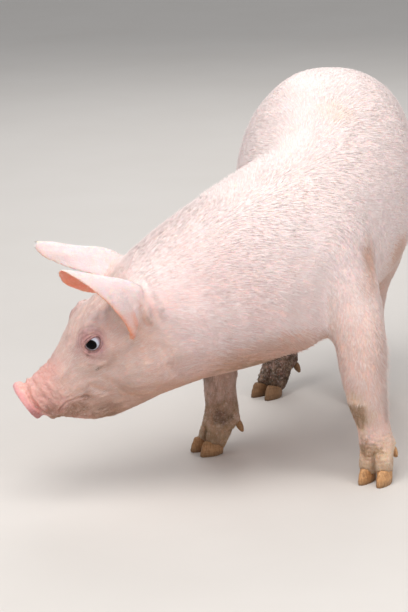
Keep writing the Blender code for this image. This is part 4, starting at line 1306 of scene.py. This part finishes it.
def makeHorn(node):
    bm = bmesh.new()
    bm.from_mesh(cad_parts[node].data)
    bmesh.ops.remove_doubles(bm, verts=bm.verts[:], dist=weldDistance)
    bmesh.ops.subdivide_edges(bm, edges=bm.edges[:], cuts=hoofSettings["cuts"], use_grid_fill=True)
    bmesh.ops.triangulate(bm, faces=[f for f in bm.faces if len(f.verts) > 4])
    mesh = bpy.data.meshes.new(node)
    bm.to_mesh(mesh)
    bm.free()
    at = meshPoints(mesh)
    low, high = at.min(0), at.max(0)
    at = relaxed(at, meshEdges(mesh), hoofSettings["rounds"], 0.5)
    at = (at - (at.min(0) + at.max(0)) / 2) / (at.max(0) - at.min(0)) * (high - low) + (low + high) / 2
    setPoints(mesh, at)
    out = meshNormals(mesh)
    wall = 1 - ease(0.45, 0.85, np.abs(out[:, 2]))
    wave = (at[:, 2] + 0.0006 * ripple(at, 0.008, 71)) / hoofSettings["ring"]
    at += out * (wall * hoofSettings["ringDepth"] * np.sin(wave * 2 * math.pi))[:, None]
    chips = wall * hoofSettings["chip"] * np.clip(ripple(at, 0.0045, 73), 0, 1)
    at -= out * (chips * (1 - ease(0.0, 0.006, at[:, 2] - low[2])))[:, None]
    if node.startswith("hoof"):
        at[:, 2] += ease(0.6, 1.0, (at[:, 2] - low[2]) / (high[2] - low[2])) * hoofSettings["rise"]
        at[:, 2] = np.where(at[:, 2] < low[2] + hoofSettings["flatSole"], low[2], at[:, 2])
    at[:, 2] = np.maximum(at[:, 2], 0.0)
    setPoints(mesh, at)
    smoothShaded(mesh)
    leg = "_".join(node.split("_")[1:3])
    writeNumber(mesh, "grime", np.full(len(at), hoofSettings["grime"].get(leg, 0.0)))
    name = "".join(word.capitalize() for word in node.split("_"))
    horn = linked(name[0].lower() + name[1:], mesh)
    horn.data.materials.append(hornLook)
    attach(horn, "root")
    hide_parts(node)


for node in sorted(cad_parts):
    if node.startswith(("hoof", "dewclaw")):
        makeHorn(node)
print("hooves made")

# the coat: short bristles in flat tufts that follow its lie
coatSettings = {
    "tufts": 132000,
    "perPiece": 19500,
    "uvPatch": 0.003,
    "rooted": 0.0006,  # how deep a tuft starts under the skin
    "lifts": (1.8, 62),  # the least and the most, in degrees
    # how densely tufts grow against the trunk's 1.00, their length, width and lift in degrees
    "trunk": (1.00, 0.0165, 0.00075, 3.0),
    "neck": (1.10, 0.0150, 0.00068, 3.4),
    "head": (1.80, 0.0085, 0.00050, 6),
    "lower_jaw": (1.60, 0.0075, 0.00055, 14),
    "nose": (0.00, 0.0020, 0.00030, 10),
    "ear": (1.30, 0.0052, 0.00038, 6),
    "upper": (1.10, 0.0100, 0.00068, 5),
    "lower": (1.80, 0.0064, 0.00048, 8),
    "tail": (2.00, 0.0090, 0.00060, 14),
}


def partKey(name):
    if "leg" in name:
        return name.rsplit("_", 1)[1]
    return name.split("_")[0] if name.startswith(("ear", "nose")) else name


fleshKeys = [partKey(name) for name in fleshNodes]


def lieOfCoat():
    # the way that the hair lies at each point of the skin
    local = toHead(points)
    hand = np.where(local[:, 1] >= 0, 1.0, -1.0)
    ones = np.ones(len(points))
    lie = np.zeros((len(points), 3))
    keys = np.array(fleshKeys)[labels]
    down = np.array([0, 0, -1.0])
    rows = keys == "trunk"
    lie[rows] = np.array([0.05, 1.0, 0]) + down * (0.32 + 0.60 * ease(0.25, 0.65, normals[rows, 2]))[:, None]
    rumpBack = ease(0.44, 0.54, (points - np.array(home))[:, 1])
    lie += down * (rumpBack * rows)[:, None] * 1.2
    rows = keys == "neck"
    sideways = 1 - np.abs(normals[rows, 2])
    lie[rows] = np.array([0.75, 0.62, 0.12]) + down * (0.40 * sideways)[:, None]
    cheek = ease(0.02, 0.05, np.abs(local[:, 1]))
    faceLie = np.stack((-ones, hand * 0.10, 0.10 - 0.30 * cheek), axis=1)
    earLie = np.stack((ones * 0.40, hand * 0.22, ones * 0.90), axis=1)
    for key, wanted in (("head", faceLie), ("lower_jaw", faceLie), ("nose", faceLie), ("ear", earLie)):
        rows = keys == key
        lie[rows] = (wanted @ headAxes.T)[rows]
    for key, backward in (("upper", 0.45), ("lower", 0.28), ("tail", 0.2)):
        lie[keys == key] = (0, backward, -1.0)
    lie = relaxed(unit(lie), edges, 110, 0.95)
    lie -= normals * (lie * normals).sum(axis=1)[:, None]
    return unit(lie)


coatLines = {
    # where the coat stands up more: path, width, more lift in degrees, more length
    "crest": (
        ((-0.090, -0.045, 0.356), (-0.040, 0.012, 0.398), (0.022, 0.072, 0.438), (0.060, 0.100, 0.458)),
        0.028, 7, 0.002),
    "forehead": (((-0.200, 0, 0.075), (-0.150, 0, 0.062), (-0.110, 0, 0.045)), 0.022, 18, 0.0),
    "forearm": (((0.248, 0.040, 0.215), (0.254, 0.040, 0.165), (0.254, 0.044, 0.110)), 0.014, 22, 0.005),
}


def coatNumbers():
    # density, length, width and lift at each point of the skin
    table = np.array([coatSettings[key] for key in fleshKeys], float)
    rows = relaxed(table[labels], edges, 60, 0.95)
    density, length, _, lift = rows.T
    local = toHead(points)
    body = points - np.array(home)
    high = points[:, 2]
    muzzle = ease(-0.10, -0.02, local[:, 0]) * (np.abs(local[:, 1]) < 0.06)
    length *= 1 - 0.45 * muzzle
    density *= 1 - 0.55 * muzzle
    eyeGap = eyeDistance(points)
    density *= ease(0.0150, 0.0210, eyeGap)
    length *= 0.55 + 0.45 * ease(0.018, 0.040, eyeGap)
    length *= 0.45 + 0.55 * ease(0.03, 0.10, high)
    density *= ease(0.012, 0.020, high) * (1 + 1.2 * bump(high - 0.030, 0.010))
    length += 0.003 * bump(high - 0.031, 0.008)
    density *= 1 - 0.55 * ease(0.3, 0.9, -normals[:, 2]) * (high > 0.15)
    bareEar = 0.85 * isPart(labels, "ear")
    density *= 1 - bareEar * earInsideness(points, normals)
    rim, _ = distanceToPath(asLeftEar(local), curveThrough(earSettings["outerRim"], 24))
    density *= 1 - bareEar * bump(rim, 0.0060)
    for name, (path, width, moreLift, moreLength) in coatLines.items():
        gap, _ = distanceToPath(local if name == "forehead" else body, path)
        lift += moreLift * bump(gap, width)
        length += moreLength * bump(gap, width)
    return rows


lie = lieOfCoat()
numbers = coatNumbers()
triangles = meshTriangles(skin.data)
print("lie of the coat set")


def scatter(count, density):
    # random places on the skin, as a triangle and the shares of its three corners
    a, b, c = (points[triangles[:, k]] for k in range(3))
    area = np.linalg.norm(np.cross(b - a, c - a), axis=1) / 2
    weight = area * density[triangles].mean(axis=1)
    chosen = rng.choice(len(triangles), count, p=weight / weight.sum())
    right, up = rng.random(count), rng.random(count)
    flip = right + up > 1
    right, up = np.where(flip, 1 - right, right), np.where(flip, 1 - up, up)
    return chosen, np.stack((1 - right - up, right, up), axis=1)


def sampled(values, chosen, shares):
    return np.einsum("ij,ijk->ik", shares, values[triangles[chosen]])


def unwrapGuide():
    # the coarse body, unwrapped once, says where each root lies on the map
    mesh = coarse.data
    mesh.polygons.foreach_set("select", np.ones(len(mesh.polygons), bool))
    bpy.context.view_layer.objects.active = coarse
    for obj in bpy.context.selected_objects:
        obj.select_set(False)
    coarse.select_set(True)
    bpy.ops.object.mode_set(mode="EDIT")
    bpy.ops.mesh.select_all(action="SELECT")
    bpy.ops.uv.smart_project(angle_limit=math.radians(66), island_margin=0.004)
    bpy.ops.object.mode_set(mode="OBJECT")
    mesh = coarse.data
    corners = meshTriangles(mesh)
    loops = pulled(mesh.loop_triangles, "loops", 3, np.int64)
    uv = pulled(mesh.uv_layers.active.data, "uv", 2)
    tree = BVHTree.FromPolygons([tuple(p) for p in meshPoints(mesh)], [tuple(t) for t in corners])
    return tree, meshPoints(mesh)[corners], uv[loops]


def mapPlaces(roots):
    tree, corners, uvs = guideMap
    places, faces = nearestFaces(tree, roots)
    a, b, c = (corners[faces, k] for k in range(3))
    v0, v1, v2 = b - a, c - a, places - a
    d00, d01, d11 = (v0 * v0).sum(1), (v0 * v1).sum(1), (v1 * v1).sum(1)
    d20, d21 = (v2 * v0).sum(1), (v2 * v1).sum(1)
    under = np.maximum(d00 * d11 - d01 * d01, 1e-18)
    v = (d11 * d20 - d01 * d21) / under
    w = (d00 * d21 - d01 * d20) / under
    shares = np.clip(np.stack((1 - v - w, v, w), axis=1), 0, 1)
    return np.einsum("ij,ijk->ik", shares, uvs[faces])


guideMap = unwrapGuide()
print("coat's map unwrapped")


def coatMaterial():
    n = Nodes("bristles")
    marking = n.attribute("marking")
    tone = n.attribute("tone", "Fac")
    colour = n.mix(n.ramp(tone, 0.0, 1.0, 0.0, 0.56), marking, (0.955, 0.902, 0.885))
    dirt = n.noise(260, 3, 0.6)
    colour = n.mix(n.ramp(dirt, 0.62, 0.82, 0.0, 0.25), colour, marking)
    return n.finish(
        Base_Color=colour,
        Roughness=n.ramp(dirt, 0.2, 0.8, 0.48, 0.60),
        Specular_IOR_Level=0.40,
        Subsurface_Weight=0.0,
    )


coatLook = coatMaterial()
bladeSettings = {
    "thickness": 0.17,  # of the width
    "middleWidth": 0.42,  # of the width, to each side
    "roundness": 0.12,  # how far the shading turns to each side
    # corners: 0 to 2 across the root, 3 to 5 across the middle, 6 the tip
    "faces": (
        (0, 1, 2), (0, 4, 1), (0, 3, 4), (1, 5, 2), (1, 4, 5),
        (2, 3, 0), (2, 5, 3), (3, 6, 4), (4, 6, 5), (5, 6, 3),
    ),
    "map": ((-1, -1), (0, -1), (1, -1), (-0.8, 0), (0, 0), (0.8, 0), (0, 1)),
}


def blades(name, root, out, along, length, width, lift, colour, tone):
    # one closed tapered blade for each root
    across = unit(np.cross(out, along))
    rise = np.tan(np.radians(lift))[:, None]
    length, width = length[:, None], width[:, None]
    thick = width * bladeSettings["thickness"]
    rooted = coatSettings["rooted"]
    base = root - out * rooted
    middle = root + along * length * 0.5 + out * (rise * length * 0.42)
    tip = root + along * length + out * (rise * length)
    side = across * width * bladeSettings["middleWidth"]
    corners = np.stack((
        base - across * width / 2, base + out * (thick + rooted), base + across * width / 2,
        middle - side, middle + out * thick, middle + side, tip,
    ), axis=1)
    turn = across * bladeSettings["roundness"]
    threeWays = (out - turn, out, out + turn)
    facing = np.stack((*threeWays, *threeWays, out + along * 0.1), axis=1)
    faces = (np.array(bladeSettings["faces"])[None] + 7 * np.arange(len(root))[:, None, None]).reshape(-1, 3)
    obj = triangleMesh(name, corners.reshape(-1, 3), faces)
    mesh = obj.data
    smoothShaded(mesh)
    mesh.normals_split_custom_set_from_vertices(unit(facing).reshape(-1, 3))
    writeColour(mesh, "marking", np.repeat(colour, 7, axis=0))
    writeNumber(mesh, "tone", np.repeat(tone, 7))
    shape = np.array(bladeSettings["map"]) * (coatSettings["uvPatch"] / 2)
    uv = (mapPlaces(root)[:, None, :] + shape[None]).reshape(-1, 2)
    layer = mesh.uv_layers.new(name="OFBake")
    layer.data.foreach_set("uv", np.clip(uv, 0, 1)[faces.ravel()].astype(np.float32).ravel())
    mesh.materials.append(coatLook)
    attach(obj, "root")


chosen, shares = scatter(coatSettings["tufts"], numbers[:, 0])
roots = sampled(points, chosen, shares)
outs = unit(sampled(normals, chosen, shares))
alongs = sampled(lie, chosen, shares)
sizes = sampled(numbers, chosen, shares)
rootLabels = labels[triangles[chosen, 0]]
count = len(roots)
swirl = np.radians(5 * ripple(roots, 0.070, 81) + rng.normal(0, 4.5, count))
alongs = unit(alongs - outs * (alongs * outs).sum(1)[:, None])
acrosses = np.cross(outs, alongs)
alongs = alongs * np.cos(swirl)[:, None] + acrosses * np.sin(swirl)[:, None]
lengths = sizes[:, 1] * rng.uniform(0.65, 1.25, count)
widths = sizes[:, 2] * rng.uniform(0.7, 1.3, count)
lifts = sizes[:, 3] + rng.normal(0, 1.0, count) + ripple(roots, 0.02, 83)
lifts = np.clip(lifts, *coatSettings["lifts"])
# neighbouring tufts are paler or darker together, in streaks along the part's own grain
grains = {
    "trunk": (0.05, 0.93, -0.36),
    "neck": (0.74, 0.66, -0.10),
    "upper": (0, 0.40, -0.92),
    "lower": (0, 0.27, -0.96),
    "other": (0.80, 0.45, 0.40),
}
partGrains = np.array([grains.get(key, grains["other"]) for key in fleshKeys])
grain = unit(partGrains)[rootLabels]
clump = ripple(roots - 0.85 * grain * (roots * grain).sum(1)[:, None], 0.0042, 85)
# the skin's colour under each tuft, painted shade and painted light included
rootColours = markingsShadeAndLight(roots, outs, rootLabels)
paleness = np.clip(0.62 + 0.15 * clump + rng.normal(0, 0.10, count), 0, 1)
paleness = paleness * ease(0.08, 0.62, rootColours[:, 1])

coatPieces = {
    "coatHead": ("head", "lower_jaw", "ear"),
    "coatNeck": ("neck",),
    "coatTrunk": ("trunk",),
    "coatThighs": ("hindleg_left_upper", "hindleg_right_upper"),
    "coatShoulders": ("foreleg_left_upper", "foreleg_right_upper"),
    "coatShins": tuple(leg + "_lower" for leg in legNames),
    "coatTail": ("tail",),
}
for pieceName, parts in coatPieces.items():
    rows = np.flatnonzero(isPart(rootLabels, *parts))
    rows = rows[np.argsort(roots[rows, 1])]
    shareCount = max(1, math.ceil(len(rows) / coatSettings["perPiece"]))
    for number, share in enumerate(np.array_split(rows, shareCount)):
        name = pieceName if shareCount == 1 else f"{pieceName}{number + 1}"
        perTuft = (roots, outs, alongs, lengths, widths, lifts, rootColours, paleness)
        blades(name, *(values[share] for values in perTuft))
bpy.data.objects.remove(coarse, do_unlink=True)
print("coat made:", count, "tufts")

# floor
floor = newObject("floor", [(-20, -20, 0), (20, -20, 0), (20, 20, 0), (-20, 20, 0)], [(0, 1, 2, 3)])
floorNodes = Nodes("paleFloor")
floorTone = floorNodes.mix(floorNodes.noise(2.2, 4, 0.6), (0.60, 0.565, 0.53), (0.66, 0.63, 0.60))
floor.data.materials.append(floorNodes.finish(Base_Color=floorTone, Roughness=0.85))
